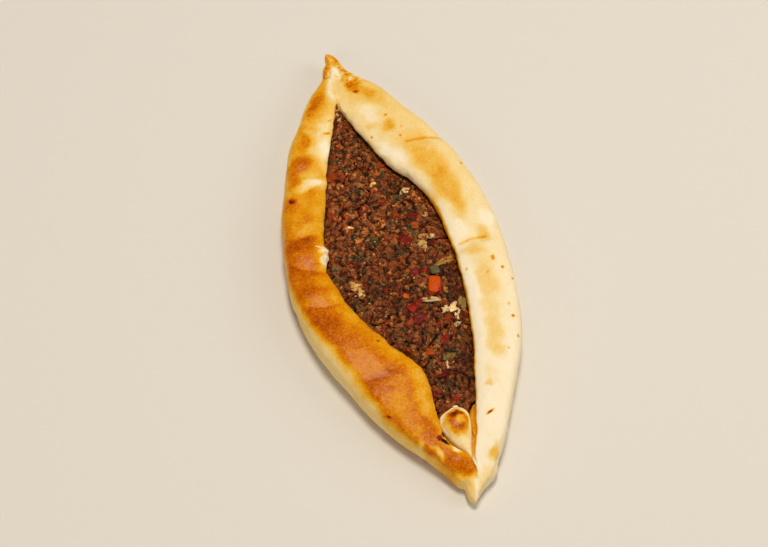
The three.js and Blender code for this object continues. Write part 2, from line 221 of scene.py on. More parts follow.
# Where the tear begins and is full, as shares of the way to the lip, for its strands and where it stands out.
TORN_PLACE, STANDS_PLACE = (0.6, 0.84), (0.75, 1)
STANDS_BUMPS = [(2.2, 0.5, 8.8)]
TORN_TONE, STRAND_TONE, TORN_FULL = 0.04, 0.2, 1.1

# Flaky, browned dough at the far end, marked as the patches are, and the pale pinched ridge beside it.
FLAKY = [(8, 134, 7, 13, 15, 1.0), (3, 150, 5, 8, 10, 0.4), (-3.5, 140, 3, 8, -20, 0.8)]
PINCH_Y = [112, 118, 122.4, 131, 138.7, 146]
PINCH_X = [-5, -5.7, -6.4, -3.8, 0.5, 2.5]
PINCH_HALF = 2.5
PINCH_ENDS = ((113, 119), (140, 147))
PINCH_HIGH = 1.1
PINCH_BUMPS = [(2.6, 0.5, 3.6)]
PINCH_TONE, PINCH_SHARE = 0.02, 0.9
# The rounded end of the left fold, lying over the near tip, and the crackled skin behind it.
LOBE = [(-2, -138.5, 7.5, 5, -25, 1.2)]
CRACKLED = [(-24, -101, 10, 17, 28, 1.0), (-12, -120, 8, 18, 30, 0.8), (-38, -70, 9, 12, 30, 0.3)]

# The oily brown inside of the lips: how many points past the top of a slice it begins and is full, where
# along y it ends, how brown it is and how fully it covers. Both lips have it from OILY_FROM on, and the
# right one is lighter beside the loose end, painted light in the shaded gap there.
OILY_FROM = (-139, -133)
OILY_RIGHT, OILY_RIGHT_END, OILY_RIGHT_SHARE = (-11, -2), (20, 45), 0.95
OILY_RIGHT_TONE, OILY_NEAR_PAINTED_LIGHT_TONE, OILY_NEAR_END = 0.54, 0.46, (-112, -104)
OILY_LEFT, OILY_LEFT_END, OILY_LEFT_TONE, OILY_LEFT_SHARE = (-1, 5), (100, 112), 0.6, 0.8
# The bare floor of the pocket between the filling and the far seam.
FAR_FLOOR_TONE = 0.42
FAR_FLOOR_Y = ((98, 103), (112, 119))

# Points round one slice of the dough: outer wall, top, nose of the lip, floor of the pocket, foot and sole.
WALL, TOP, NOSE, UNDER, FLOOR, FOOT, SOLE = 32, 36, 10, 3, 8, 6, 8
ONE_FOLD = WALL + TOP + NOSE + UNDER
RIGHT_FROM = ONE_FOLD + FLOOR
RIGHT_TO = RIGHT_FROM + ONE_FOLD
# How many points of each top close over where the lips are pinched shut.
SEAM_REACH = 16
SEAM_FROM = WALL + TOP - SEAM_REACH
SEAM_TO = RIGHT_FROM + UNDER + NOSE + SEAM_REACH
# Slices along the pie, and how far they crowd toward its tips.
DOUGH_ROWS = 460
ROW_CROWDING = 0.3
# Bumps of the dough as (size, height, shift) in mm, all over and toward the tips, where they are drawn out.
DOUGH_BUMPS = [(19, 0.55, 0), (8, 0.34, 5.2), (3.4, 0.17, 9.1), (1.7, 0.06, 3.3)]
TIP_BUMPS = [(3.2, 0.5, 1.7)]
TIP_STRETCH = (1, 0.22, 1)
TIP_BUMPS_REACH = (112, 140)
# The crackled skin: its bumps, and how deep, how far apart and how narrow its cracks are, and how much paler
# it is, which is a painted glint.
CRACKLE_BUMPS = [(2.4, 0.3, 5.8), (1.4, 0.18, 1.9)]
CRACKLE_DEPTH = 0.3
CRACKLE_SPAN, CRACKLE_SHIFT, CRACKLE_HALF = 3.0, 7.7, 0.12
CRACKLE_GLINT_PALE = 0.03
# The flaky dough: its bumps, and how unevenly brown it is.
FLAKE_BUMPS = [(3.0, 0.5, 2.4), (1.6, 0.4, 6.9)]
FLAKE_BROWN = [(3.4, 0.3, 7.1), (1.8, 0.24, 4.3)]
# The strands of the tear, drawn out across the lip: how far they carry its edge and how high they stand.
STRANDS = [(2.6, 0.6, 6.1), (1.3, 0.4, 2.8)]
STRAND_STRETCH = (0.3, 1, 0.4)
STRAND_REACH = 2.2
STRAND_HIGH, STRAND_LOW = 0.6, -0.1
# Bumps along the lips, and where they begin and are full, as shares of the way to the lip.
LIP_BUMPS = [(5, 0.45, 2.2), (2, 0.22, 4.4)]
NEAR_LIP = (0.9, 1)
# The relief dies out over these heights above the sole and these lengths from the tips.
SOLE_CALM, TIP_CALM = (0.3, 3), (0, 4)
# Points over and under one slice of the filling, and its slices. Points round a slice are a multiple of
# four, so that the ball they mould has a point straight ahead.
MEAT_ACROSS, MEAT_UNDER, MEAT_ROWS = 198, 10, 440

# The loose end of dough that lies over the near end of the filling, as (y, value).
FLAP_LEFT = [
    (-138, 4.2), (-135.5, 3), (-132, 0.8), (-128, -1.8), (-123, -4.9), (-118, -6.7),
    (-113, -7), (-109, -5.6), (-106.5, -1.4), (-104.8, 3.4),
]
FLAP_RIGHT = [
    (-138, 4.8), (-135.5, 5.1), (-132, 5.9), (-128, 7.2), (-123, 8.6), (-118, 9.9),
    (-113, 10.6), (-109, 10.2), (-106.5, 8.2), (-104.8, 4.6),
]
FLAP_TOP = [
    (-138, 14.4), (-132, 16.4), (-125, 18), (-119, 19.6), (-114, 20), (-109.5, 18.8),
    (-107, 17), (-104.8, 15),
]
FLAP_LOW = 12.6
FLAP_ROWS, FLAP_AROUND = 72, 96
# Patches of the loose end as (x, y, half length across, half length along, turn in degrees, how much
# browner); the pale one at 4.8, -114.6 is a painted highlight on the blister.
FLAP_PATCHES = [
    (3.2, -114.4, 7.6, 7, 0, 0.58), (0.6, -111.2, 3.0, 2.0, -10, 0.3),
    (5, -110.6, 3.4, 1.4, -10, 0.22), (8, -114.5, 1.6, 3, 0, 0.16), (-1, -115.5, 1.8, 2.6, 0, 0.16),
    (4.8, -114.6, 3.0, 2.8, 0, -0.42), (2, -120.5, 5, 3.4, 0, 0.2),
]
# Its bumps, how ragged its patches are, how brown it is elsewhere and how strongly mottled.
FLAP_BUMPS = [(5, 0.35, 4.1), (1.8, 0.16, 2.6)]
FLAP_WARP = [(3, 1.0, 5.5), (1.4, 0.6, 2.5)]
FLAP_TONE = 0.1
FLAP_MOTTLE, FLAP_MOTTLE_SIZE, FLAP_MOTTLE_SHIFT, FLAP_MOTTLE_EDGE = 0.14, 4, 8.1, (0.1, 0.6)
# Its ends are rounded, its top is domed and its underside sags. The blister lies in its front part.
FLAP_CROWDING = 0.45
FLAP_ENDS = 14
FLAP_DOME, FLAP_SAG = 0.8, 1.6
FLAP_SHOULDER = (0, 0.4)
FLAP_FRONT = (-126, -117)
FLAP_MIDDLE, FLAP_AHEAD, FLAP_BEHIND = -115, 10.2, 24
BLISTER = (0.64, 0.94)
BLISTER_WOBBLE = [(3.2, 0.05, 1.9)]
# The groove round the blister and the rim outside it, as (share of the way out, height), and half the
# width of each.
FLAP_GROOVE = [(0.84, -0.6), (0.99, 0.3)]
GROOVE_HALF = 0.08
# Keeps a division clear of zero.
TINY = 1e-9


def step(value, low, high):
    """Rises softly from 0 at low to 1 at high."""
    t = np.clip((value - low) / (high - low), 0, 1)
    return t * t * (3 - 2 * t)


def between(value, begin, end):
    """Rises softly from 0 to 1 over the span begin and falls again over the span end."""
    return step(value, *begin) * (1 - step(value, *end))


def mix(a, b, t):
    return a + (b - a) * t


def through(points, y):
    """A smooth curve through (y, value) points, level beyond its ends."""
    ys, values = np.array(points, float).T
    slopes = np.empty_like(ys)
    slopes[1:-1] = (values[2:] - values[:-2]) / (ys[2:] - ys[:-2])
    slopes[0] = (values[1] - values[0]) / (ys[1] - ys[0])
    slopes[-1] = (values[-1] - values[-2]) / (ys[-1] - ys[-2])
    y = np.clip(y, ys[0], ys[-1])
    i = np.clip(np.searchsorted(ys, y, "right") - 1, 0, len(ys) - 2)
    span = ys[i + 1] - ys[i]
    t = (y - ys[i]) / span
    rise = t * t * (3 - 2 * t)
    bend = t * (1 - t)
    return mix(values[i], values[i + 1], rise) + span * bend * ((1 - t) * slopes[i] - t * slopes[i + 1])


def bumps(points, size, shift=0.0):
    """Smooth noise from about -1 to 1, with bumps of the size given in mm."""
    spots = points.reshape(-1, 3) / size + shift
    return np.array([noise.noise(spot) for spot in spots.tolist()]).reshape(points.shape[:-1])


def blots(x, y, marks):
    """The summed strength of soft-edged oval marks."""
    total = np.zeros_like(x)
    for at_x, at_y, across, along, turn, strength in marks:
        c, s = math.cos(math.radians(turn)), math.sin(math.radians(turn))
        u = (x - at_x) * c + (y - at_y) * s
        v = (y - at_y) * c - (x - at_x) * s
        total += strength * np.exp(-(((u / across) ** 2 + (v / along) ** 2) ** MARK_EDGE))
    return total


def layered(points, layers):
    """Bumps of several sizes added up, each given as (size in mm, height in mm, shift)."""
    return sum(height * bumps(points, size, shift) for size, height, shift in layers)


def lips(y):
    left = through(LIP_LINE[LEFT], y)
    return {LEFT: left, RIGHT: np.maximum(through(LIP_LINE[RIGHT], y), left + SEAM_WIDTH)}


def crest_of(y, side):
    sunk = sum(depth * np.exp(-(((y - at) / half) ** 2)) for at, depth, half in CREASES[side])
    return through(CREST[side], y) - sunk


def pocket(y):
    """The floor of the pocket, the underside of the lips and how far it runs in under them."""
    edge = lips(y)
    opened = step(edge[RIGHT] - edge[LEFT], *OPEN_WIDTH)
    shut = np.minimum(through(CREST[LEFT], y), through(CREST[RIGHT], y)) - through(SEAM_DEPTH, y)
    under = mix(shut, np.minimum(POCKET_TOP, shut), opened)
    deep = np.where(y < POCKET_NEAR, 0, opened)
    bed = SEAM_BED * between(y, *SEAM_BED_Y)
    return mix(under - bed, BASE, deep), under, mix(SHUT_TUCK, TUCK, deep)


def tucks(y):
    """How far the pocket runs in under each lip; beside the loose end the right wall stands out instead."""
    tuck = pocket(y)[2]
    heel = through(HEEL, y)
    return {LEFT: tuck, RIGHT: mix(tuck, -heel, np.clip(heel, 0, 1))}


def shut_seam(y):
    """How fully the two lips are pinched together, from 0 where the pie is open to 1 at its tips."""
    return 1 - between(y, *OPENING_Y)


def arc(count, x, z, reach_x, reach_z, start, end, power):
    """Points of a rounded corner for every y; the last point is left to what follows."""
    angle = np.radians(start + (end - start) * np.arange(count) / count)
    across = np.sign(np.cos(angle)) * np.abs(np.cos(angle)) ** (2 / power)
    upward = np.sign(np.sin(angle)) * np.abs(np.sin(angle)) ** (2 / power)
    return np.stack([x[:, None] + np.outer(reach_x, across), z[:, None] + np.outer(reach_z, upward)], -1)


def straight(x, z):
    return np.stack([np.atleast_2d(x.T).T, np.atleast_2d(z.T).T], -1)


def fold(y, side):
    """One fold of dough from its widest line over its crest to the inner wall of the pocket."""
    outer, edge, crest = through(OUTER[side], y), lips(y)[side], crest_of(y, side)
    floor, under, _ = pocket(y)
    tuck = tucks(y)[side]
    ridge = mix(outer, edge, mix(RIDGE_PLACE, TIP_RIDGE, step(-y, *TIP_RIDGE_REACH)))
    widest = mix(through(LIFT, y), crest, WIDEST_PLACE)
    nose = np.minimum(LIP, crest - under) / 2
    back = np.minimum(nose, tuck / 2)
    wall = edge + side * tuck
    return np.concatenate([
        arc(WALL, ridge, widest, outer - ridge, crest - widest, 0, 90, SIDE_ROUND),
        arc(TOP, ridge, under + nose, edge - ridge, crest - under - nose, 90, 0, TOP_ROUND),
        arc(NOSE, edge + side * back, under + nose, -side * back, nose, 0, -90, NOSE_ROUND),
        straight(edge + side * back, under), straight(wall, under), straight(wall, (under + floor) / 2),
    ], 1)


def dough_slices(y):
    """The outline of the dough at every y: left fold, pocket floor, right fold, foot and sole."""
    floor = pocket(y)[0]
    edge, tuck = lips(y), tucks(y)
    share = (np.arange(FLOOR) / (FLOOR - 1))[None]
    floor_x = mix((edge[LEFT] - tuck[LEFT])[:, None], (edge[RIGHT] + tuck[RIGHT])[:, None], share)
    outer = {side: through(OUTER[side], y) for side in (LEFT, RIGHT)}
    lift = through(LIFT, y)
    inset = np.minimum(FOOT_INSET, FOOT_SHARE * (outer[RIGHT] - outer[LEFT]))
    foot = {}
    for side in (LEFT, RIGHT):
        widest = mix(lift, crest_of(y, side), WIDEST_PLACE)
        inner = outer[side] - side * inset
        foot[side] = arc(FOOT, inner, widest, side * inset, lift - widest, 0, 90, FOOT_ROUND)
    share = (np.arange(SOLE) / (SOLE - 1))[None]
    sole_x = mix((outer[RIGHT] - inset)[:, None], (outer[LEFT] + inset)[:, None], share)
    slices = np.concatenate([
        fold(y, LEFT), straight(floor_x, np.repeat(floor[:, None], FLOOR, 1)), fold(y, RIGHT)[:, ::-1],
        foot[RIGHT][:, 1:], straight(sole_x, np.repeat(lift[:, None], SOLE, 1)), foot[LEFT][:, :0:-1],
    ], 1)
    seam = slices[:, SEAM_FROM:SEAM_TO]
    bridge = mix(seam[:, :1], seam[:, -1:], np.linspace(0, 1, seam.shape[1])[None, :, None])
    slices[:, SEAM_FROM:SEAM_TO] = mix(seam, bridge, shut_seam(y)[:, None, None])
    tip = np.clip(np.minimum(y - NEAR_TIP, FAR_TIP - y) / TIP_ROUND, 0, 1)
    closing = np.sqrt(1 - (1 - tip) ** 2)[:, None, None]
    low, high = slices.min(1, keepdims=True), slices.max(1, keepdims=True)
    return mix((low + high) / 2, slices, closing)


def stacked(slices, y):
    """Slices of (x, z) set up at their y as points."""
    level = np.broadcast_to(y[:, None], slices.shape[:2])
    return np.stack([slices[..., 0] + SHIFT_X, level, slices[..., 1]], -1)


def outward(grid):
    """The direction out of a closed skin of slices at each of its points."""
    along = np.gradient(grid, axis=0)
    around = np.roll(grid, -1, 1) - np.roll(grid, 1, 1)
    out = np.cross(around, along)
    out /= np.maximum(np.linalg.norm(out, axis=-1, keepdims=True), TINY)
    middle = grid.mean(1, keepdims=True)
    return out * np.sign(((grid - middle) * out).sum())


def skin(grid, painted):
    """A closed ball whose rings take the places of the grid's rows, with painted values at its points."""
    rows, around = grid.shape[0] - 1, grid.shape[1]
    bm = bmesh.new()
    bmesh.ops.create_uvsphere(bm, u_segments=around, v_segments=rows, radius=1)
    ball = np.array([vert.co for vert in bm.verts])
    ring = np.rint(np.arctan2(np.hypot(ball[:, 0], ball[:, 1]), ball[:, 2]) * rows / math.pi).astype(int)
    turn = np.rint(np.arctan2(ball[:, 1], ball[:, 0]) * around / math.tau).astype(int) % around
    for vert, place in zip(bm.verts, (grid[ring, turn] * MM).tolist()):
        vert.co = place
    bmesh.ops.recalc_face_normals(bm, faces=bm.faces)
    mesh = bpy.data.meshes.new("skin")
    bm.to_mesh(mesh)
    bm.free()
    for name, values in painted.items():
        paint(mesh, name, values[ring, turn])
    return mesh


def paint(mesh, name, values):
    """Keeps a number or a colour at each point of a mesh."""
    coloured = values.ndim > 1
    kept = mesh.attributes.new(name, "FLOAT_COLOR" if coloured else "FLOAT", "POINT")
    kept.data.foreach_set("color" if coloured else "value", np.ascontiguousarray(values, np.float32).ravel())


def piece(name, mesh, material, replaced):
    """Puts a mesh into the scene as a piece of the pie."""
    mesh.name = name
    mesh.polygons.foreach_set("use_smooth", [True] * len(mesh.polygons))
    mesh.materials.append(material)
    made = bpy.data.objects.new(name, mesh)
    bpy.context.scene.collection.objects.link(made)
    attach(made, "root")
    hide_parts(replaced)


def linear(code):
    """An sRGB hex colour as linear RGBA."""
    parts = np.array([int(code[i:i + 2], 16) / 255 for i in (1, 3, 5)])
    return (*np.where(parts <= 0.04045, parts / 12.92, ((parts + 0.055) / 1.055) ** 2.4).tolist(), 1.0)


def node(tree, kind, inputs=(), stops=(), **settings):
    """Adds a node with its settings; an input is a value, another node or one of its outputs."""
    made = tree.nodes.new(kind)
    for key, value in settings.items():
        setattr(made, key, value)
    for key, value in dict(inputs).items():
        if isinstance(value, bpy.types.Node):
            value = value.outputs[0]
        if isinstance(value, bpy.types.NodeSocket):
            tree.links.new(value, made.inputs[key])
        else:
            made.inputs[key].default_value = value
    for place, (at, colour) in enumerate(stops):
        elements = made.color_ramp.elements
        stop = elements[place] if place < len(elements) else elements.new(at)
        stop.position = at
        stop.color = linear(colour)
    return made


def per_mm(size):
    """The noise scale that gives features of about this many mm."""
    return 1 / (size * MM)


def blank(name):
    """A material with an empty node tree."""
    material = bpy.data.materials.new(name)
    material.use_nodes = True
    tree = material.node_tree
    tree.nodes.clear()
    return material, tree


def shaded(tree, inputs):
    """Ends a material in one surface shader."""
    surface = node(tree, "ShaderNodeBsdfPrincipled", inputs)
    node(tree, "ShaderNodeOutputMaterial", {"Surface": surface})


def baked_dough():
    """Egg-washed bread dough: satin cream where pale, golden to deep orange-brown and glossy where baked."""
    material, tree = blank("baked egg-washed dough, satin")
    place = node(tree, "ShaderNodeTexCoord").outputs["Object"]
    brown = node(tree, "ShaderNodeAttribute", attribute_name="brown").outputs["Fac"]
    crackle = node(tree, "ShaderNodeAttribute", attribute_name="crackle").outputs["Fac"]
    # Broad mottling and a fine speckle, both stronger where the dough is browner.
    mottle = node(tree, "ShaderNodeTexNoise", {
        "Vector": place, "Scale": per_mm(9), "Detail": 3.0, "Roughness": 0.6,
    })
    fine = node(tree, "ShaderNodeTexNoise", {
        "Vector": place, "Scale": per_mm(1.3), "Detail": 2.0, "Roughness": 0.6,
    })
    uneven = node(tree, "ShaderNodeMath", {0: mottle, 1: 0.4, 2: -0.2}, operation="MULTIPLY_ADD")
    uneven = node(tree, "ShaderNodeMath", {0: fine, 1: 0.5, 2: uneven}, operation="MULTIPLY_ADD")
    uneven = node(tree, "ShaderNodeMath", {0: uneven, 1: 0.25}, operation="SUBTRACT")
    depth = node(tree, "ShaderNodeMath", {0: brown, 1: 0.2}, operation="ADD")
    tone = node(
        tree, "ShaderNodeMath", {0: uneven, 1: depth, 2: brown}, operation="MULTIPLY_ADD", use_clamp=True,
    )
    colour = node(tree, "ShaderNodeValToRGB", {"Fac": tone}, stops=[
        (0.0, "#f5e8ca"), (1.0, "#2e0c02"), (0.12, "#efd596"), (0.3, "#e9b84a"), (0.45, "#de9804"),
        (0.6, "#cc7000"), (0.74, "#ac4e00"), (0.88, "#6e2400"),
    ])
    gloss = node(tree, "ShaderNodeMapRange", {
        "Value": tone, "From Min": 0.15, "From Max": 0.7, "To Min": 0.6, "To Max": 0.2,
    })
    # A fine grain over the skin, drawn as coarse as it needs to show, and deeper where it is crackled.
    grain = node(tree, "ShaderNodeTexNoise", {
        "Vector": place, "Scale": per_mm(1.0), "Detail": 3.0, "Roughness": 0.6,
    })
    depth = node(tree, "ShaderNodeMapRange", {"Value": crackle, "To Min": 0.24, "To Max": 0.5})
    bump = node(tree, "ShaderNodeBump", {"Height": grain, "Strength": depth, "Distance": 0.4 * MM})
    shaded(tree, {
        "Base Color": colour, "Roughness": gloss, "Normal": bump, "IOR": 1.45, "Specular IOR Level": 0.11,
        "Subsurface Weight": 0.12, "Subsurface Radius": (1.0, 0.55, 0.25), "Subsurface Scale": 2.5 * MM,
    })
    return material


def moist(name, roughness, speckle):
    """Cooked filling: each bit has its own colour, with finer speckle over it and a moist sheen."""
    material, tree = blank(name)
    place = node(tree, "ShaderNodeTexCoord").outputs["Object"]
    tint = node(tree, "ShaderNodeAttribute", attribute_name="tint")
    fine = node(tree, "ShaderNodeTexNoise", {
        "Vector": place, "Scale": per_mm(0.9), "Detail": 4.0, "Roughness": 0.65,
    })
    shade = node(tree, "ShaderNodeMapRange", {
        "Value": fine, "From Min": 0.25, "From Max": 0.75, "To Min": 1 - speckle, "To Max": 1 + speckle,
    })
    colour = node(tree, "ShaderNodeVectorMath", {0: tint, 1: shade}, operation="MULTIPLY")
    bump = node(tree, "ShaderNodeBump", {"Height": fine, "Strength": 0.5, "Distance": 0.3 * MM})
    shaded(tree, {
        "Base Color": colour, "Roughness": roughness, "Normal": bump, "IOR": 1.42, "Specular IOR Level": 0.12,
    })
    return material


def plain(name, colour, roughness):
    """One even colour and sheen."""
    material, tree = blank(name)
    shaded(tree, {"Base Color": linear(colour), "Roughness": roughness})
    return material


def line_depth(x, y):
    """How deep the sharp baked creases are at each point, from 0 to 1."""
    depth = np.zeros_like(x)
    for x0, y0, x1, y1 in CREASE_LINES:
        t = np.clip(((x - x0) * (x1 - x0) + (y - y0) * (y1 - y0)) / ((x1 - x0) ** 2 + (y1 - y0) ** 2), 0, 1)
        away = np.hypot(x - mix(x0, x1, t), y - mix(y0, y1, t))
        depth = np.maximum(depth, np.exp(-((away / LINE_HALF) ** 2)))
    return depth


def ledges(x, y, side):
    """How far the surface sinks toward each crease between bulges, how much browner it is past one, and how
    much paler before one, a painted highlight.
    """
    sunk, browning_and_highlight = np.zeros_like(x), np.zeros_like(x)
    for at_x, at_y, toward, depth, ease, fade, half, soft in LEDGES[side]:
        c, s = math.cos(math.radians(toward)), math.sin(math.radians(toward))
        sideways = (y - at_y) * c - (x - at_x) * s
        past = (x - at_x) * c + (y - at_y) * s + LEDGE_CURVE * sideways ** 2
        ends = np.exp(-((sideways / half) ** 4))
        away = np.hypot(past, soft) - soft
        before, after = np.clip(1 - away / ease, 0, 1) ** 2, np.exp(-away / fade)
        sunk += depth * np.where(past < 0, before, after) * ends
        crossed = step(past, -soft, soft)
        tone = LEDGE_BROWN * crossed * after - LEDGE_HIGHLIGHT_PALE * (1 - crossed) * before
        browning_and_highlight += min(depth, 1) * tone * ends
    return sunk, browning_and_highlight


def dough_layout():
    """The smooth dough as slices of points, with where each point lies on its fold and how far it is seen."""
    t = np.linspace(-1, 1, DOUGH_ROWS + 1)
    y = mix(t, np.sin(t * math.pi / 2), ROW_CROWDING) * FAR_TIP
    grid = stacked(dough_slices(y), y)
    x, z = grid[..., 0], grid[..., 2]
    column = np.arange(grid.shape[1])
    is_left = ((column < ONE_FOLD) | (column >= RIGHT_TO + FOOT + SOLE // 2))[None]
    on_floor = (column >= ONE_FOLD) & (column < RIGHT_FROM)
    right_from_wall = np.where(column < RIGHT_TO, RIGHT_TO - 1 - column, 0)
    from_wall = np.where(column < ONE_FOLD, column, right_from_wall)[None]
    edge = lips(y)
    outer_x, lip_x, crest = (
        np.where(is_left, left[:, None], right[:, None]) for left, right in (
            (through(OUTER[LEFT], y) + SHIFT_X, through(OUTER[RIGHT], y) + SHIFT_X),
            (edge[LEFT] + SHIFT_X, edge[RIGHT] + SHIFT_X),
            (crest_of(y, LEFT), crest_of(y, RIGHT)),
        )
    )
    lift = through(LIFT, y)[:, None]
    seen = np.where(on_floor, 0, 1 - step(from_wall, WALL + TOP + NOSE - UNDER, WALL + TOP + NOSE))
    return SimpleNamespace(
        grid=grid, y=y, x=x, level=np.broadcast_to(y[:, None], x.shape),
        is_left=is_left, on_floor=on_floor, from_top=from_wall - WALL - TOP,
        place=np.clip((x - outer_x) / (lip_x - outer_x), 0, 1),
        height=np.clip((z - lift) / (crest - lift), 0, 1),
        seen=np.maximum(seen, shut_seam(y)[:, None]) * step(z - lift, *SOLE_CALM),
    )


def mark_dough(lay):
    """Adds where the dough is crackled, flaky, pinched and torn, and the strands of the tear."""
    lay.crackle = np.clip(blots(lay.x, lay.level, CRACKLED), 0, 1) * lay.is_left
    lay.flaky = np.clip(blots(lay.x, lay.level, FLAKY), 0, 1)
    lay.pinch = np.exp(-(((lay.x - np.interp(lay.level, PINCH_Y, PINCH_X)) / PINCH_HALF) ** 2))
    lay.pinch *= between(lay.level, *PINCH_ENDS)
    lay.strands = layered(lay.grid * STRAND_STRETCH, STRANDS)
    whole = [(*mark[:5], 1) for mark in TORN]
    lay.torn = blots(lay.x + STRAND_REACH * lay.strands, lay.level, whole)
    lay.torn *= lay.is_left * step(lay.place, *TORN_PLACE)


def raised_dough(lay):
    """The points of the dough with its bumps, creases, flakes and torn lip."""
    grid, x, level = lay.grid, lay.x, lay.level
    relief = layered(grid, DOUGH_BUMPS)
    relief += step(np.abs(level), *TIP_BUMPS_REACH) * layered(grid * TIP_STRETCH, TIP_BUMPS)
    cracks = np.exp(-((bumps(grid, CRACKLE_SPAN, CRACKLE_SHIFT) / CRACKLE_HALF) ** 2))
    relief += lay.crackle * (layered(grid, CRACKLE_BUMPS) - CRACKLE_DEPTH * cracks)
    relief -= LINE_DEPTH * line_depth(x, level)
    relief -= np.where(lay.is_left, ledges(x, level, LEFT)[0], ledges(x, level, RIGHT)[0])
    relief += blots(x, level, LOBE) * lay.is_left
    relief += lay.flaky * layered(grid, FLAKE_BUMPS)
    relief += lay.pinch * (PINCH_HIGH + layered(grid, PINCH_BUMPS))
    relief += step(lay.place, *NEAR_LIP) * layered(grid, LIP_BUMPS)
    relief += STRAND_HIGH * lay.torn * np.maximum(lay.strands, STRAND_LOW)
    relief = relief * lay.seen * step(np.minimum(level - NEAR_TIP, FAR_TIP - level), *TIP_CALM)
    grid = grid + outward(grid) * relief[..., None]
    stands = blots(x, level, TORN) * lay.is_left * step(lay.place, *STANDS_PLACE)
    grid[..., 0] += stands * lay.seen * (1 + layered(grid, STANDS_BUMPS))
    grid[..., 2] = np.maximum(grid[..., 2], 0)
    return grid


def browned_dough(lay, grid):
    """How brown the raised dough is baked at each point, from 0, pale, to 1, burnt, with painted highlight
    and shade in it.
    """
    x, level, place, is_left = lay.x, lay.level, lay.place, lay.is_left
    warp_x, warp_y = (
        layered(grid, [(size, reach, shift + more) for size, reach, more in PATCH_WARP])
        for shift in WARP_SHIFTS
    )
    small_x, small_y = x + SMALL_WARP * warp_x, level + SMALL_WARP * warp_y
    folds = {}
    for side, patches in ((LEFT, LEFT_PATCHES), (RIGHT, RIGHT_PATCHES)):
        folds[side] = through(BROWN[side], lay.y)[:, None] + blots(x + warp_x, level + warp_y, patches)
        folds[side] -= LIP_PALE[side] * step(place, *LIP_PALE_PLACE[side])
    eased = DEEP_BROWN + DEEP_EASE * np.tanh((folds[LEFT] - DEEP_BROWN) / DEEP_EASE)
    left = np.where(folds[LEFT] > DEEP_BROWN, eased, folds[LEFT])
    # The paler tone before each crease and on the crackled skin is painted highlight.
    left += ledges(small_x, small_y, LEFT)[1] - CRACKLE_GLINT_PALE * lay.crackle
    brown = np.where(is_left, left, folds[RIGHT])

    bare = [np.interp(lay.y, FLANK_Y, line)[:, None] for line in (FLANK_PALE, FLANK_BROWN)]
    left_flank = step(place + FLANK_WARP[LEFT] * warp_x, *bare)
    right_flank = step(lay.height + FLANK_WARP[RIGHT] * warp_x, *FLANK_RISE)
    flank = np.where(is_left, left_flank, np.where(place < RIDGE_PLACE, right_flank, 1))
    brown = mix(np.where(is_left, FLANK_TONE[LEFT], FLANK_TONE[RIGHT]), brown, flank)
    brown += blots(small_x, small_y, BURNT) * step(lay.height, *BURNT_RISE)
    brown += LINE_BROWN * line_depth(x, level) * (place < LINE_END)

    oily = step(lay.from_top, *OILY_RIGHT) * between(level, OILY_FROM, OILY_RIGHT_END) * ~is_left
    oily_tone = mix(OILY_NEAR_PAINTED_LIGHT_TONE, OILY_RIGHT_TONE, step(level, *OILY_NEAR_END))
    brown = mix(brown, oily_tone, OILY_RIGHT_SHARE * oily)
    oily = step(lay.from_top, *OILY_LEFT) * between(level, OILY_FROM, OILY_LEFT_END) * is_left
    brown = mix(brown, OILY_LEFT_TONE, OILY_LEFT_SHARE * oily)
    brown = mix(brown, PINCH_TONE, PINCH_SHARE * lay.pinch)
    brown = mix(brown, FAR_FLOOR_TONE, lay.on_floor * between(level, *FAR_FLOOR_Y))
    brown += lay.flaky * layered(grid, FLAKE_BROWN)
    torn_tone = TORN_TONE - STRAND_TONE * np.minimum(lay.strands, 0)
    return np.clip(mix(brown, torn_tone, np.clip(lay.torn * TORN_FULL, 0, 1)), 0, 1)


def crust_mesh():
    """The dough crust with its bumps, creases and torn lip, and how brown it is baked all over, painted
    highlight and shade included.
    """
    lay = dough_layout()
    mark_dough(lay)
    grid = raised_dough(lay)
    return skin(grid, {"brown": browned_dough(lay, grid), "crackle": lay.crackle})


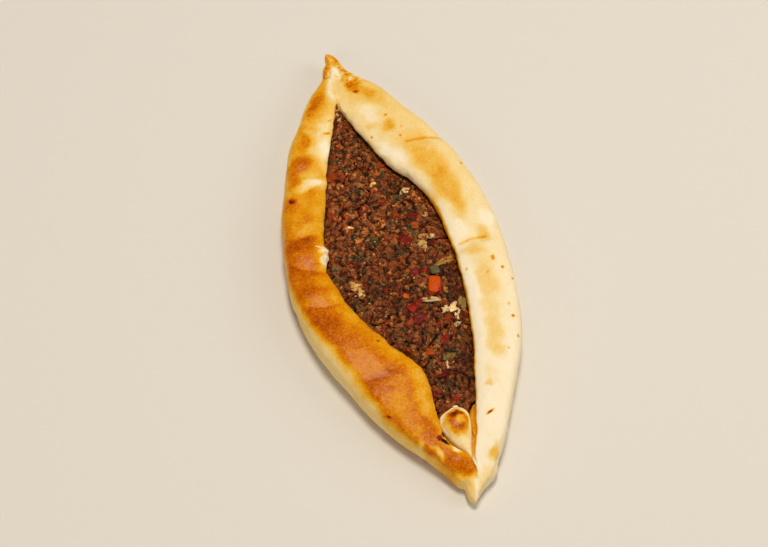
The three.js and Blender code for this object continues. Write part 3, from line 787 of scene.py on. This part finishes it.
def flap_mesh():
    """The loose end of dough: a browned blister with a painted highlight and a pale raised rim, running back
    to a point.
    """
    share = np.linspace(0, 1, FLAP_ROWS + 1)
    crowded = mix(share, np.sin(share * math.pi / 2), FLAP_CROWDING)
    y = mix(FLAP_LEFT[0][0], FLAP_LEFT[-1][0], crowded)
    left, right, top = (through(line, y)[:, None] for line in (FLAP_LEFT, FLAP_RIGHT, FLAP_TOP))
    angle = np.linspace(0, math.tau, FLAP_AROUND, endpoint=False)[None]
    across, upward = np.cos(angle), np.sin(angle)
    from_end = np.clip(1 - np.minimum(share, 1 - share) * FLAP_ENDS, 0, 1)
    closing = np.sqrt(1 - from_end ** 2)[:, None]
    x = (left + right) / 2 + (right - left) / 2 * across * closing
    rise = np.where(upward > 0, (top - FLAP_LOW) * np.abs(upward) ** FLAP_DOME, FLAP_SAG * upward)
    grid = stacked(np.stack([x, FLAP_LOW + rise * closing], -1), y)
    ahead = grid[..., 1] - FLAP_MIDDLE
    along = ahead / np.where(ahead > 0, FLAP_AHEAD, FLAP_BEHIND)
    ring = np.hypot(across, along) + layered(grid, BLISTER_WOBBLE)
    groove = sum(high * np.exp(-(((ring - at) / GROOVE_HALF) ** 2)) for at, high in FLAP_GROOVE)
    relief = groove * step(grid[..., 1], *FLAP_FRONT) + layered(grid, FLAP_BUMPS)
    grid[..., 2] += relief * step(upward, *FLAP_SHOULDER) * closing
    warp = layered(grid, FLAP_WARP)
    blister_and_highlight = blots(grid[..., 0] + warp, grid[..., 1] + warp, FLAP_PATCHES) * (1 - step(ring, *BLISTER))
    mottle = step(bumps(grid, FLAP_MOTTLE_SIZE, FLAP_MOTTLE_SHIFT), *FLAP_MOTTLE_EDGE)
    brown = FLAP_TONE + blister_and_highlight + FLAP_MOTTLE * mottle
    return skin(grid, {"brown": np.clip(brown, 0, 1), "crackle": np.zeros_like(brown)})


# The minced filling, worked out on a fine plan of its top, and the colours of its crumbs, the common ones
# with more weight.
CELL = 0.4
BED_X, BED_Y = (-52.0, 48.0), (-122.0, 116.0)
MINCE = [("#7c441c", 5), ("#8a5026", 4), ("#713813", 5), ("#602a0c", 4), ("#965a2a", 1.6), ("#6e3620", 2),
         ("#7f3a10", 1.6), ("#842a10", 0.5), ("#a46c38", 0.5), ("#4c200a", 2)]
# Crumbs in the bed: their radius, how far one in five outgrows it, their height as a share of it, how deep
# they are sunk, how ragged they are, how far out that can reach, and how far they lie under the lips.
CRUMBS = 14000
CRUMB_RADII = (0.55, 1.25)
CRUMB_GROWTH = [1, 1, 1, 1, 1.5]
CRUMB_HIGH = 0.34
CRUMB_SUNK = 0.2
CRUMB_RAGGED = [(1.1, 0.6, 3.1)]
CRUMB_REACH = 1.5
CRUMB_TUCK = 4
# How unevenly light the crumbs are, and the other bits of the filling.
CRUMB_SPREAD, BIT_SPREAD = 0.15, 0.22
# How many spots are drawn for each one that is wanted, as those under the lips are left out.
BED_TRIES, BIT_TRIES = 3, 6
# How light the mince is along the pie, as (y, share).
MINCE_LIGHT = [(-100, 1.0), (-50, 1.12), (-20, 1.0), (10, 1.28), (40, 1.26), (100, 1.06)]
# Crumbs among chopped parsley, and the painted shade of the gaps between crumbs.
HERBY = [("#453c22", 3), ("#3c3620", 2), ("#554220", 2), ("#68421c", 2)]
PAINTED_GAP_SHADE = "#1c0702"
# Clots of mince, wider swells and patches of lighter and darker meat, as (size, height or share, shift).
CLOTS = [(8.0, 2.2, 1.4), (4.0, 1.6, 4.6), (1.8, 0.8, 8.2)]
SWELLS = [(15, 0.8, 1.1), (1.0, 0.35, 2.9)]
PATCHY = [(20, 0.25, 3.2), (9, 0.3, 6.6)]
# Deep cracks between the clots: how far apart they run, how narrow and deep they are, and how long each is.
CRACK_SPAN, CRACK_SHIFT, CRACK_HALF, CRACK_DEPTH = 12.0, 2.2, 0.055, 1.3
CRACK_RUN, CRACK_RUN_SHIFT, CRACK_RUN_EDGE = 9.0, 9.9, (-0.1, 0.2)
# The filling lies low under the lips, rises over this distance inside them, and dips under the loose end.
MEAT_LOW = POCKET_TOP - 1.5
MEAT_RISE = 1.2
MEAT_RISE_IN = (-2, 6)
MEAT_DIP = 2.2
MEAT_DIP_Y = (-111, -104.5)
# It keeps clear of the dough this far along the pie, and under a lip from this far inside it.
MEAT_CLEAR = 2
LIP_CLEAR = 0.5
# Where the mince is darkest, marked as the patches of the crust are but by how much darker, and how ragged
# the edges are.
DARK_CLOTS = [
    (27.5, -18, 6, 6, 0, 0.6), (23.5, -36, 6, 7, 0, 0.65), (24, -50, 5, 6, 0, 0.5),
    (12, -66, 5, 5, 0, 0.4), (-19, -22, 5, 4, 0, 0.5), (-8, -33, 3, 6, 20, 0.5), (7, -88, 6, 7, 0, 0.45),
    (15, 30, 5, 4, 0, 0.35), (22, -64, 5, 8, 0, 0.42), (17.5, -79, 5, 8, 0, 0.55),
    (15.5, -92, 5, 6, 0, 0.45), (-4, 0, 5, 4, 0, 0.4), (3, 64, 5, 5, 0, 0.3), (28, 18, 5, 6, 0, 0.25),
]
CLOT_WARP = [(5, 2.5, 5.1), (2, 1.2, 8.7)]
# Painted shade in hollows of the mince and painted light on its crowns: depth below the surroundings, then
# the share.
HOLLOW = [-0.6, -0.2, 0.05, 0.3, 0.7]
PAINTED_HOLLOW_SHADE = [1.28, 1.1, 0.74, 0.28, 0.07]
# Near and wide surroundings, as (rounds of averaging, share).
SURROUNDINGS = [(10, 0.6), (60, 0.5)]
# Where chopped parsley lies thickest in the mince, as x, y.
HERB_SPOTS = [
    (-9.7, 47), (13, 37), (23, 28), (14, 13), (-8.4, 11.6), (4, 1.5), (-35, -6.5),
    (-28, -28), (-5.5, -32), (-20, 2), (8, 55), (-12, 70), (2, -58), (14, -70), (4, -92),
]
HERB_REACH = 4.0
HERB_SHARE, HERB_ELSEWHERE = 0.6, 0.05


def picked(palette, count, spread=BIT_SPREAD):
    """Draws colours from a weighted palette, each a little lighter or darker than the palette's own."""
    colours = np.array([linear(code) for code, _ in palette])
    weights = np.array([weight for _, weight in palette], float)
    chosen = colours[draw.choice(len(palette), count, p=weights / weights.sum())].copy()
    chosen[:, :3] *= draw.uniform(1 - spread, 1 + spread, (count, 1))
    return chosen


def within(x, y):
    """How far a point is inside the opening between the lips, in mm."""
    edge = lips(y)
    return np.minimum(x - SHIFT_X - edge[LEFT], edge[RIGHT] - x + SHIFT_X)


def herby(spots):
    """Whether each crumb lies in a patch of chopped parsley."""
    away = np.min([np.hypot(spots[:, 0] - x, spots[:, 1] - y) for x, y in HERB_SPOTS], 0)
    return draw.random(len(spots)) < HERB_SHARE * np.exp(-((away / HERB_REACH) ** 2)) + HERB_ELSEWHERE


def softened(plan, rounds):
    """A plan with each entry averaged with its four neighbours so many times."""
    for _ in range(rounds):
        beside = [np.roll(plan, way, axis) for axis in (0, 1) for way in (1, -1)]
        plan = sum(beside, plan) / (1 + len(beside))
    return plan


def clotted_top(gx, gy, flat):
    """The heights of the filling before its crumbs: clots and swells with cracks between."""
    clots = sum(high * np.abs(bumps(flat, size, shift)) for size, high, shift in CLOTS)
    top = MEAT_LOW + step(within(gx, gy), *MEAT_RISE_IN) * (MEAT_RISE + layered(flat, SWELLS) + clots)
    top -= MEAT_DIP * (1 - step(gy, *MEAT_DIP_Y))
    cracks = np.exp(-((bumps(flat, CRACK_SPAN, CRACK_SHIFT) / CRACK_HALF) ** 2))
    return top - CRACK_DEPTH * cracks * step(bumps(flat, CRACK_RUN, CRACK_RUN_SHIFT), *CRACK_RUN_EDGE)


def filling_bed():
    """The top of the filling as heights and colours on a fine plan: clotted crumbs with painted shade in the
    gaps between.
    """
    gx, gy = np.meshgrid(np.arange(*BED_X, CELL), np.arange(*BED_Y, CELL), indexing="ij")
    flat = np.stack([gx, gy, np.zeros_like(gx)], -1)
    base = clotted_top(gx, gy, flat)
    height = base.copy()
    tint = np.tile(np.array(linear(PAINTED_GAP_SHADE)), (*gx.shape, 1))
    tries = CRUMBS * BED_TRIES
    spots = np.stack([draw.uniform(*BED_X, tries), draw.uniform(*BED_Y, tries)], -1)
    spots = spots[within(*spots.T) > -CRUMB_TUCK][:CRUMBS]
    in_herbs = herby(spots)[:, None]
    colours = np.where(in_herbs, picked(HERBY, len(spots)), picked(MINCE, len(spots), CRUMB_SPREAD))
    radii = draw.uniform(*CRUMB_RADII, len(spots)) * draw.choice(CRUMB_GROWTH, len(spots))
    ragged = 1 + layered(flat, CRUMB_RAGGED)
    for (x, y), r, colour in zip(spots, radii, colours):
        i, j = int((x - BED_X[0]) / CELL), int((y - BED_Y[0]) / CELL)
        reach = int(CRUMB_REACH * r / CELL) + 1
        window = (slice(max(i - reach, 0), i + reach + 1), slice(max(j - reach, 0), j + reach + 1))
        away = ((gx[window] - x) ** 2 + (gy[window] - y) ** 2) / r ** 2 * ragged[window]
        dome = base[window] - CRUMB_SUNK + CRUMB_HIGH * r * np.sqrt(np.clip(1 - away, 0, 1))
        over = (dome > height[window]) & (away < 1)
        height[window][over] = dome[over]
        tint[window][away < 1] = colour
    # Hollows darken the tint and crowns lighten it, as painted shade and painted light; patches, the light
    # along the pie and dark clots then vary it.
    hollow = sum(share * (softened(height, rounds) - height) for rounds, share in SURROUNDINGS)
    shade = np.interp(hollow, HOLLOW, PAINTED_HOLLOW_SHADE) * (1 + layered(flat, PATCHY)) * through(MINCE_LIGHT, gy)
    warp = layered(flat, CLOT_WARP)
    shade *= 1 - blots(gx + warp, gy + warp, DARK_CLOTS)
    tint[..., :3] *= shade[..., None]
    return height, tint


def looked_up(plan, x, y):
    """The nearest entry of a plan to each x, y."""
    i = np.clip(np.rint((x - BED_X[0]) / CELL).astype(int), 0, plan.shape[0] - 1)
    j = np.clip(np.rint((y - BED_Y[0]) / CELL).astype(int), 0, plan.shape[1] - 1)
    return plan[i, j]


def filling_mesh(height, tint):
    """The body of the filling, from wall to wall of the pocket, with the crumbs in its top."""
    y = np.linspace(POCKET_NEAR + GAP, MEAT_FAR, MEAT_ROWS + 1)
    room = [np.clip(y + offset, POCKET_NEAR, None) for offset in (-MEAT_CLEAR, 0, MEAT_CLEAR)]
    low = np.max([lips(at)[LEFT] - tucks(at)[LEFT] for at in room], 0)[:, None] + GAP
    high = np.min([lips(at)[RIGHT] + tucks(at)[RIGHT] for at in room], 0)[:, None] - GAP
    under = np.min([pocket(at)[1] for at in room], 0)[:, None] - GAP
    floor = np.max([pocket(at)[0] for at in room], 0)[:, None] + GAP
    share = (np.arange(MEAT_ACROSS) / (MEAT_ACROSS - 1))[None]
    top_x = mix(low, high, share)
    level = np.broadcast_to(y[:, None], top_x.shape)
    top_z = looked_up(height, top_x + SHIFT_X, level)
    top_z = np.where(within(top_x + SHIFT_X, level) > LIP_CLEAR, top_z, np.minimum(top_z, under))
    back = (np.arange(MEAT_UNDER) / (MEAT_UNDER - 1))[None]
    slices = np.concatenate([
        np.stack([top_x, top_z], -1),
        np.stack([mix(high, low, back), np.broadcast_to(floor, (len(y), MEAT_UNDER))], -1),
    ], 1)
    grid = stacked(slices, y)
    for end in (0, -1):
        grid[end] = grid[end].mean(0)
    unseen = np.tile(np.array(linear(MINCE[0][0])), (len(y), MEAT_UNDER, 1))
    return skin(grid, {"tint": np.concatenate([looked_up(tint, top_x + SHIFT_X, level), unseen], 1)})


# The swellings of a lump as a share of its size, and how far apart in the noise two lumps lie.
SWELL_SIZE, SWELL_FIRST, SWELL_APART = 0.45, 1.3, 7.7


def lump_shapes(count, cuts, roundness, lumpy, jagged):
    """A few uneven lumps about 1 mm across, as their points and faces."""
    shapes = []
    for kind in range(count):
        bm = bmesh.new()
        bmesh.ops.create_cube(bm, size=1)
        bmesh.ops.subdivide_edges(bm, edges=bm.edges, cuts=cuts, use_grid_fill=True)
        bm.verts.index_update()
        points = np.array([vert.co for vert in bm.verts])
        ball = points / np.linalg.norm(points, axis=1, keepdims=True) / 2
        swell = 1 + lumpy * bumps(ball, SWELL_SIZE, kind * SWELL_APART + SWELL_FIRST)[:, None]
        rough = draw.uniform(1 - jagged, 1 + jagged, (len(points), 1))
        points = mix(points, ball, roundness) * swell * rough
        shapes.append((points, np.array([[vert.index for vert in face.verts] for face in bm.faces])))
        bm.free()
    return shapes


def turned(about, tilt):
    """Turns about the upright by the angles given, after leaning at random by up to tilt degrees."""
    lean = np.radians(draw.uniform(-tilt, tilt, (len(about), 2)))
    (ca, sa), (cx, sx), (cy, sy) = ((np.cos(v), np.sin(v)) for v in (about, lean[:, 0], lean[:, 1]))
    one, none = np.ones(len(about)), np.zeros(len(about))
    spin = np.array([[ca, -sa, none], [sa, ca, none], [none, none, one]])
    roll = np.array([[one, none, none], [none, cx, -sx], [none, sx, cx]])
    pitch = np.array([[cy, none, sy], [none, one, none], [-sy, none, cy]])
    return np.einsum("ijn,jkn,kln->nil", spin, roll, pitch)


# How uneven the colour of a bit is, and how fast red, green and blue fall where it is browner.
UNEVEN_TINT = [(1.0, 0.45, 2.7), (2.6, 0.5, 6.3)]
BROWNING = (0.8, 1.1, 1.6)


def scattered(shapes, spots, sizes, turns, values, kept="tint"):
    """Many small lumps joined into one mesh, each with its own place, size, turn and colour or browning."""
    points, faces, painted, total = [], [], [], 0
    for n, spot in enumerate(spots):
        shape, sides = shapes[n % len(shapes)]
        points.append(shape * sizes[n] @ turns[n].T + spot)
        faces.append(sides + total)
        painted.append(np.broadcast_to(values[n], (len(shape), *np.shape(values[n]))))
        total += len(shape)
    points, painted = np.concatenate(points), np.concatenate(painted).copy()
    if painted.ndim > 1:
        uneven = 1 + layered(points, UNEVEN_TINT)[:, None]
        painted[:, :3] *= uneven ** np.array(BROWNING)
    mesh = bpy.data.meshes.new("scattered")
    mesh.from_pydata((points * MM).tolist(), [], np.concatenate(faces).tolist())
    mesh.update()
    paint(mesh, kept, painted)
    return mesh


# Loose bits lie from 8 mm inside the pocket's near end to 1 mm short of the filling's far end.
BITS_Y = (POCKET_NEAR + 8, MEAT_FAR - 1)


def places(count, clear):
    """Random x, y on the open filling, at least so far in from the lips."""
    tries = count * BIT_TRIES
    spots = np.stack([draw.uniform(*BED_X, tries), draw.uniform(*BITS_Y, tries)], -1)
    return spots[within(*spots.T) > clear][:count]


def bits(height, spots, sizes, tints, shapes, tilt, sunk):
    """Small pieces set into the top of the filling."""
    z = looked_up(height, spots[:, 0], spots[:, 1]) - sunk * sizes[:, 2]
    about = draw.uniform(0, math.tau, len(spots))
    return scattered(shapes, np.column_stack([spots, z]), sizes, turned(about, tilt), tints)


def sizes_of(count, long, wide, thick):
    """Random sizes, each within its span."""
    return np.column_stack([draw.uniform(*span, count) for span in (long, wide, thick)])


# Pieces of vegetable that stand out, as (x, y, length, width, turn in degrees).
RED_PIECES = [
    (-28.1, 36.6, 5, 3.4, 4), (3.2, 35.1, 3.5, 3, -16), (-10.5, 33.4, 4, 3, 44),
    (18.8, 23.1, 4, 3, -16), (29, 24, 3, 2.4, 14), (9, 7.4, 7.4, 5.4, -41), (23.9, 2.4, 6, 2.6, -26),
    (8.4, -14.4, 5, 4, -16), (13.3, -15.8, 3, 2.4, -16), (-20.2, -13.7, 4, 3.4, -16),
    (6.2, -33.6, 5, 2.8, 24), (1.2, -36.8, 7, 5, 44), (1.4, -45.6, 9, 3.6, 34), (-16.3, -42.4, 5, 2, 14),
    (-4.9, -47.5, 6, 3, 29), (2.3, -83.3, 9, 3.2, -4), (12, -62, 5, 3.4, 54), (-3.5, -94, 4, 4, -16),
    (6, -101, 4, 2.6, 34), (10, -52, 4, 2.2, -6),
]
ORANGE_PIECES = [
    (17.3, 16.6, 4.6, 3.4, -16), (8.6, 26.1, 3.6, 3, -16), (-20.5, 63, 6.4, 4.4, -1),
    (-1.2, -29.5, 3.6, 2.6, -16), (-6.7, -26.6, 3, 2.2, -16), (17.5, -50, 5, 3, 44), (1, -68, 4, 3, -16),
    (9, 63, 5, 3, 24),
]
PALE_PIECES = [
    (1.7, 50.7, 4.6, 3.4, 44), (-18.5, 53.7, 2.6, 2, -16), (18.4, 41.6, 4, 3, -16),
    (25.1, 22.1, 3.4, 2.6, -16), (20.4, 7.2, 4.4, 3.4, 14), (25.3, 5.8, 3.6, 2.4, -16),
    (17.1, 2, 6, 4, -26), (25.5, -12.4, 9, 3.4, 2), (30.2, -10, 3.6, 3.2, -16), (-19.5, 24.3, 3, 1.6, -16),
    (-27.8, -14.6, 5.6, 4.6, -16), (-25.6, -20.5, 2.6, 5.4, -6), (12.2, -35.4, 11, 2.6, -16),
    (21.6, -31.4, 3, 4, -16), (20.2, -43.6, 7, 4.6, 4), (23.5, -48.8, 3, 6, -16), (20, -55, 6, 2.4, 24),
    (19.6, -63.7, 3, 1.8, -66), (9, -78, 5, 3.4, 34), (-4, 106, 3.4, 2.4, 60),
]
OLIVE_PIECES = [
    (19.6, -16.6, 5.4, 4, -16), (28, -42, 4, 7, -26), (7.5, -63, 4, 3, -16),
    (-12.1, -18.4, 2.4, 2, -16), (11, -74, 5, 3, 24), (-35, -1, 3, 2, -16),
]
# The colours of the vegetables, the common ones with more weight.
RED = [("#8a1e12", 3), ("#a02a16", 1.2), ("#6c160e", 4), ("#903416", 1)]
ORANGE = [("#b04a0c", 3), ("#c05c14", 2), ("#943a0c", 2)]
PALE = [("#c89c58", 3), ("#d8b880", 2), ("#b48038", 2)]
OLIVE = [("#74622f", 2), ("#625834", 2), ("#8a743e", 1)]
GREEN = [("#3a3620", 3), ("#444022", 2), ("#4e4424", 2), ("#33331f", 1)]
# Stray bits of filling, stuck to the left fold beside the loose end and spilt into the seam at the far end,
# as (x, y, z, length, width, turn in degrees, colour), and their thickness.
STRAY_BITS = [
    (-10, -122, 17.8, 3.2, 2.4, 20, "#8e1e18"),
    (-8.1, -124.6, 17.6, 3.6, 2.2, -40, "#42180c"), (-7.6, -120.6, 17, 2.4, 1.6, 60, "#6a2a12"),
    (-6.2, -126.6, 16.6, 1.8, 1.2, -30, "#5c2410"), (-5.8, 105.6, 13.6, 2.6, 1.8, 30, "#6a3416"),
    (-3.6, 106.4, 13.7, 2.2, 1.6, -20, "#7c4622"), (-5.3, 107.7, 13.8, 2.6, 1.7, 70, "#c8a064"),
    (-3.7, 108.7, 14.0, 2.0, 1.5, 10, "#5c2c12"), (-5.2, 109.3, 14.3, 2.2, 1.6, -30, "#7a4420"),
    (-4.2, 110.4, 14.8, 2.0, 1.4, 50, "#c89650"), (-4.9, 111.6, 15.6, 1.7, 1.2, 0, "#74401c"),
    (-4.3, 112.8, 16.4, 1.5, 1.1, 80, "#8a5228"), (-5.6, 103.4, 13.3, 2.8, 1.9, 100, "#c8a064"),
    (-2.7, 104.2, 13.2, 2.4, 1.7, 15, "#4c2410"),
]
STRAY_THICK = 1.6
# The large dice of pepper: its middle, size and turn, how rounded it is, and its bumps as (size, height,
# shifts).
DICE_AT = (16.5, -27.2)
DICE_SIZE = (10.6, 6.8, 6.6)
DICE_TURN = -16.0
DICE_Z = 13.8
DICE_CUTS = 11
DICE_ROUND, DICE_CUBE, DICE_BALL = 0.34, 1.06, 1.2
DICE_UNEVEN = [(4, 0.7, (1.3, 4.7, 8.2)), (1.6, 0.25, (2.3, 5.7, 9.2))]
# Its red skin: which way it faces across and along, where it begins and how ragged that border is.
SKIN_FACES, SKIN_EDGE = (0.6, -0.5), (0.16, 0.36)
SKIN_WOBBLE = [(0.35, 0.15, 3.3)]
DICE_FLESH, DICE_SKIN = "#c44a06", "#98140a"
# Shreds of torn white dough as (x, y, z, length, width, turn in degrees), four at the tear and one at the tip
# of the loose end, with their thickness and how brown they are.
SHREDS = [
    (-42, 13, 20.6, 4.8, 0.8, -28), (-40.2, 10.4, 20.0, 5.2, 1.0, -42),
    (-41.8, 6.2, 19.9, 3.8, 0.8, -52), (-42, 1.8, 19.6, 4.2, 0.8, -80), (4.6, -105, 14.9, 3, 1.2, -10),
]
SHRED_THICK, SHRED_TONE = 0.9, 0.02
# How much larger a piece of vegetable is than what shows of it, and how far it leans.
PIECE_GROWTH = 1.2
PIECE_TILT, SHRED_TILT = 12, 15


def marked(marks, turns, shapes, thick, values, kept="tint"):
    """Lumps set one by one, as their marks of (x, y, z, length, width, turn) say."""
    sizes = np.column_stack([marks[:, 3:5], np.full(len(marks), thick)])
    return scattered(shapes, marks[:, :3], sizes, turns, values, kept)


def laid(height, pieces, palette, shapes, thick, sunk):
    """The larger pieces of vegetable, each laid where it is seen in the filling."""
    marks = np.array(pieces)
    sizes = np.column_stack([marks[:, 2:4] * PIECE_GROWTH, np.full(len(marks), thick)])
    z = looked_up(height, marks[:, 0], marks[:, 1]) - sunk
    turns = turned(np.radians(marks[:, 4]), PIECE_TILT)
    return scattered(shapes, np.column_stack([marks[:, :2], z]), sizes, turns, picked(palette, len(marks)))


def dice_mesh():
    """The large orange dice of pepper with its red skin on one side."""
    bm = bmesh.new()
    bmesh.ops.create_cube(bm, size=1)
    bmesh.ops.subdivide_edges(bm, edges=bm.edges, cuts=DICE_CUTS, use_grid_fill=True)
    points = np.array([vert.co for vert in bm.verts])
    ball = points / np.linalg.norm(points, axis=1, keepdims=True) / 2
    points = mix(points * DICE_CUBE, ball * DICE_BALL, DICE_ROUND)
    red = step(points[:, :2] @ SKIN_FACES + layered(points, SKIN_WOBBLE), *SKIN_EDGE)
    points = points * (DICE_SIZE[1], DICE_SIZE[0], DICE_SIZE[2])
    for size, high, shifts in DICE_UNEVEN:
        points += high * np.stack([bumps(points, size, shift) for shift in shifts], -1)
    c, s = math.cos(math.radians(DICE_TURN)), math.sin(math.radians(DICE_TURN))
    points = points @ np.array([[c, -s, 0], [s, c, 0], [0, 0, 1]]).T
    points += (DICE_AT[0] + SHIFT_X, DICE_AT[1], DICE_Z)
    for vert, place in zip(bm.verts, (points * MM).tolist()):
        vert.co = place
    mesh = bpy.data.meshes.new("dice")
    bm.to_mesh(mesh)
    bm.free()
    paint(mesh, "tint", mix(np.array(linear(DICE_FLESH)), np.array(linear(DICE_SKIN)), red[:, None]))
    return mesh


# In the filling, mince is the most speckled and pepper the glossiest; parsley and onion have a soft sheen.
dough = baked_dough()
meat = moist("minced meat, moist", roughness=0.5, speckle=1.0)
pepper = moist("cooked pepper, glossy", roughness=0.36, speckle=0.3)
leaf = moist("cooked parsley, satin", roughness=0.5, speckle=0.3)
onion = moist("cooked onion, satin", roughness=0.45, speckle=0.3)

piece("baked_crust", crust_mesh(), dough, "crust")
piece("crust_flap", flap_mesh(), dough, "crust")

bed, bed_tint_and_shade = filling_bed()
piece("mince_bed", filling_mesh(bed, bed_tint_and_shade), meat, "meat_filling")

crumb_shapes = lump_shapes(12, cuts=1, roundness=0.7, lumpy=0.5, jagged=0.18)
chunk_shapes = lump_shapes(12, cuts=5, roundness=0.6, lumpy=0.8, jagged=0.05)
marks = np.array(SHREDS)
turns = turned(np.radians(marks[:, 5]), SHRED_TILT)
fibre_shapes = lump_shapes(6, cuts=5, roundness=0.95, lumpy=0.35, jagged=0.02)
shreds = marked(marks, turns, fibre_shapes, SHRED_THICK, np.full(len(marks), SHRED_TONE), "brown")
piece("dough_shreds", shreds, dough, "crust")

# Loose crumbs on the bed, each a little lighter or darker than the mince where it lies, its painted shade
# included.
LOOSE_CRUMBS = 1400
LOOSE_SIZES = ((0.8, 2.0), (0.6, 1.4), (0.6, 1.1))
LOOSE_LIGHT = (0.75, 1.3)
LOOSE_CLEAR, LOOSE_TILT, LOOSE_SUNK = 0.8, 40, 0.15
spots = places(LOOSE_CRUMBS, LOOSE_CLEAR)
loose_sizes = sizes_of(len(spots), *LOOSE_SIZES)
tints = looked_up(bed_tint_and_shade, *spots.T) * draw.uniform(*LOOSE_LIGHT, (len(spots), 1))
crumbs = bits(bed, spots, loose_sizes, tints, crumb_shapes, LOOSE_TILT, LOOSE_SUNK)
piece("mince_crumbs", crumbs, meat, "meat_filling")

# Small bits strewn over the filling, with their spans of length, width and thickness.
BIT_CLEAR, BIT_TILT, BIT_SUNK = 1.5, 30, 0.2
for name, count, palette, finish, spans in (
    ("red_pepper_bits", 90, RED, pepper, ((1.2, 3.2), (0.9, 2.0), (0.7, 1.2))),
    ("orange_bits", 40, ORANGE, pepper, ((1.0, 2.8), (0.9, 1.8), (0.7, 1.2))),
    ("parsley_flecks", 70, GREEN, leaf, ((1.6, 4.0), (1.0, 2.6), (0.5, 0.9))),
    ("onion_bits", 50, PALE, onion, ((0.8, 1.9), (0.6, 1.2), (0.6, 1.0))),
):
    spots = places(count, BIT_CLEAR)
    bit_sizes = sizes_of(len(spots), *spans)
    tints = picked(palette, len(spots))
    strewn = bits(bed, spots, bit_sizes, tints, crumb_shapes, BIT_TILT, BIT_SUNK)
    piece(name, strewn, finish, "meat_filling")

# Larger pieces of vegetable, with their thickness and how far they are sunk.
for name, pieces, palette, finish, thick, sunk in (
    ("red_pepper_pieces", RED_PIECES, RED, pepper, 2.4, 0.8),
    ("orange_pieces", ORANGE_PIECES, ORANGE, pepper, 2.4, 0.5),
    ("onion_pieces", PALE_PIECES, PALE, onion, 2.2, 0.7),
    ("olive_pieces", OLIVE_PIECES, OLIVE, onion, 2.2, 0.5),
):
    piece(name, laid(bed, pieces, palette, chunk_shapes, thick, sunk), finish, "meat_filling")

marks = np.array([bit[:6] for bit in STRAY_BITS])
turns = turned(np.radians(marks[:, 5]), PIECE_TILT)
stray = marked(marks, turns, chunk_shapes, STRAY_THICK, [linear(bit[6]) for bit in STRAY_BITS])
piece("stray_filling_bits", stray, pepper, "meat_filling")
piece("orange_dice", dice_mesh(), pepper, "pepper_dice")

# The studio, in metres and watts: a pale floor, and round softboxes as (name, azimuth, elevation, distance,
# width, watts, colour), with the strongest high up on the far side.
FLOOR_HALF = 5.0
FLOOR_COLOUR, FLOOR_ROUGHNESS = "#dcd8d0", 0.9
SOFTBOXES = [
    ("key", 68, 79, 2.4, 0.68, 36.5, "#fff8ee"),
    ("side", -18, 33, 1.8, 1.35, 8.5, "#fff8ee"),
    ("fill", 225, 30, 1.8, 1.35, 6.4, "#fff0d8"),
]
AIR_COLOUR, AIR_STRENGTH = "#fff6ea", 0.25
# The camera looks down on the pie from its near end: the spot it looks at and its distance in mm, its
# angles in degrees, and its lens.
TARGET = np.array([-6.96, -2.52, 0.0])
ELEVATION, AZIMUTH, DISTANCE = 58.108, -15.95, 942.06
LENS, SENSOR = 75.0, 36.0


def toward(azimuth, elevation):
    """The direction out to an azimuth and elevation."""
    a, e = math.radians(azimuth), math.radians(elevation)
    return np.array([math.cos(a) * math.cos(e), math.sin(a) * math.cos(e), math.sin(e)])


def studio_floor():
    """A wide matte floor for the pie to lie on."""
    bm = bmesh.new()
    bmesh.ops.create_grid(bm, x_segments=1, y_segments=1, size=FLOOR_HALF)
    mesh = bpy.data.meshes.new("floor")
    bm.to_mesh(mesh)
    bm.free()
    mesh.materials.append(plain("pale floor, matte", FLOOR_COLOUR, FLOOR_ROUGHNESS))
    floor = bpy.data.objects.new("floor", mesh)
    bpy.context.scene.collection.objects.link(floor)


def soft_light(name, azimuth, elevation, distance, size, watts, colour):
    """A round softbox that faces the pie from so far away."""
    lamp = bpy.data.lights.new(name, "AREA")
    lamp.shape = "DISK"
    lamp.size = size
    lamp.energy = watts
    lamp.color = linear(colour)[:3]
    made = bpy.data.objects.new(name, lamp)
    made.location = toward(azimuth, elevation) * distance
    made.rotation_euler = (math.radians(90 - elevation), 0, math.radians(azimuth + 90))
    bpy.context.scene.collection.objects.link(made)


def studio_air():
    """An even, faint light from all around."""
    world = bpy.data.worlds.new("studio")
    world.use_nodes = True
    air = world.node_tree.nodes["Background"].inputs
    air["Color"].default_value = linear(AIR_COLOUR)
    air["Strength"].default_value = AIR_STRENGTH
    bpy.context.scene.world = world


def studio_camera():
    """The camera, placed by its angles round the spot it looks at."""
    lens = bpy.data.cameras.new("camera")
    lens.lens = LENS
    lens.sensor_width = SENSOR
    camera = bpy.data.objects.new("camera", lens)
    camera.location = ((TARGET + toward(AZIMUTH - 90, ELEVATION) * DISTANCE) * MM).tolist()
    camera.rotation_euler = (math.radians(90 - ELEVATION), 0, math.radians(AZIMUTH))
    bpy.context.scene.collection.objects.link(camera)
    bpy.context.scene.camera = camera


studio_floor()
for softbox in SOFTBOXES:
    soft_light(*softbox)
studio_air()
studio_camera()
bpy.context.scene.view_settings.view_transform = "Standard"
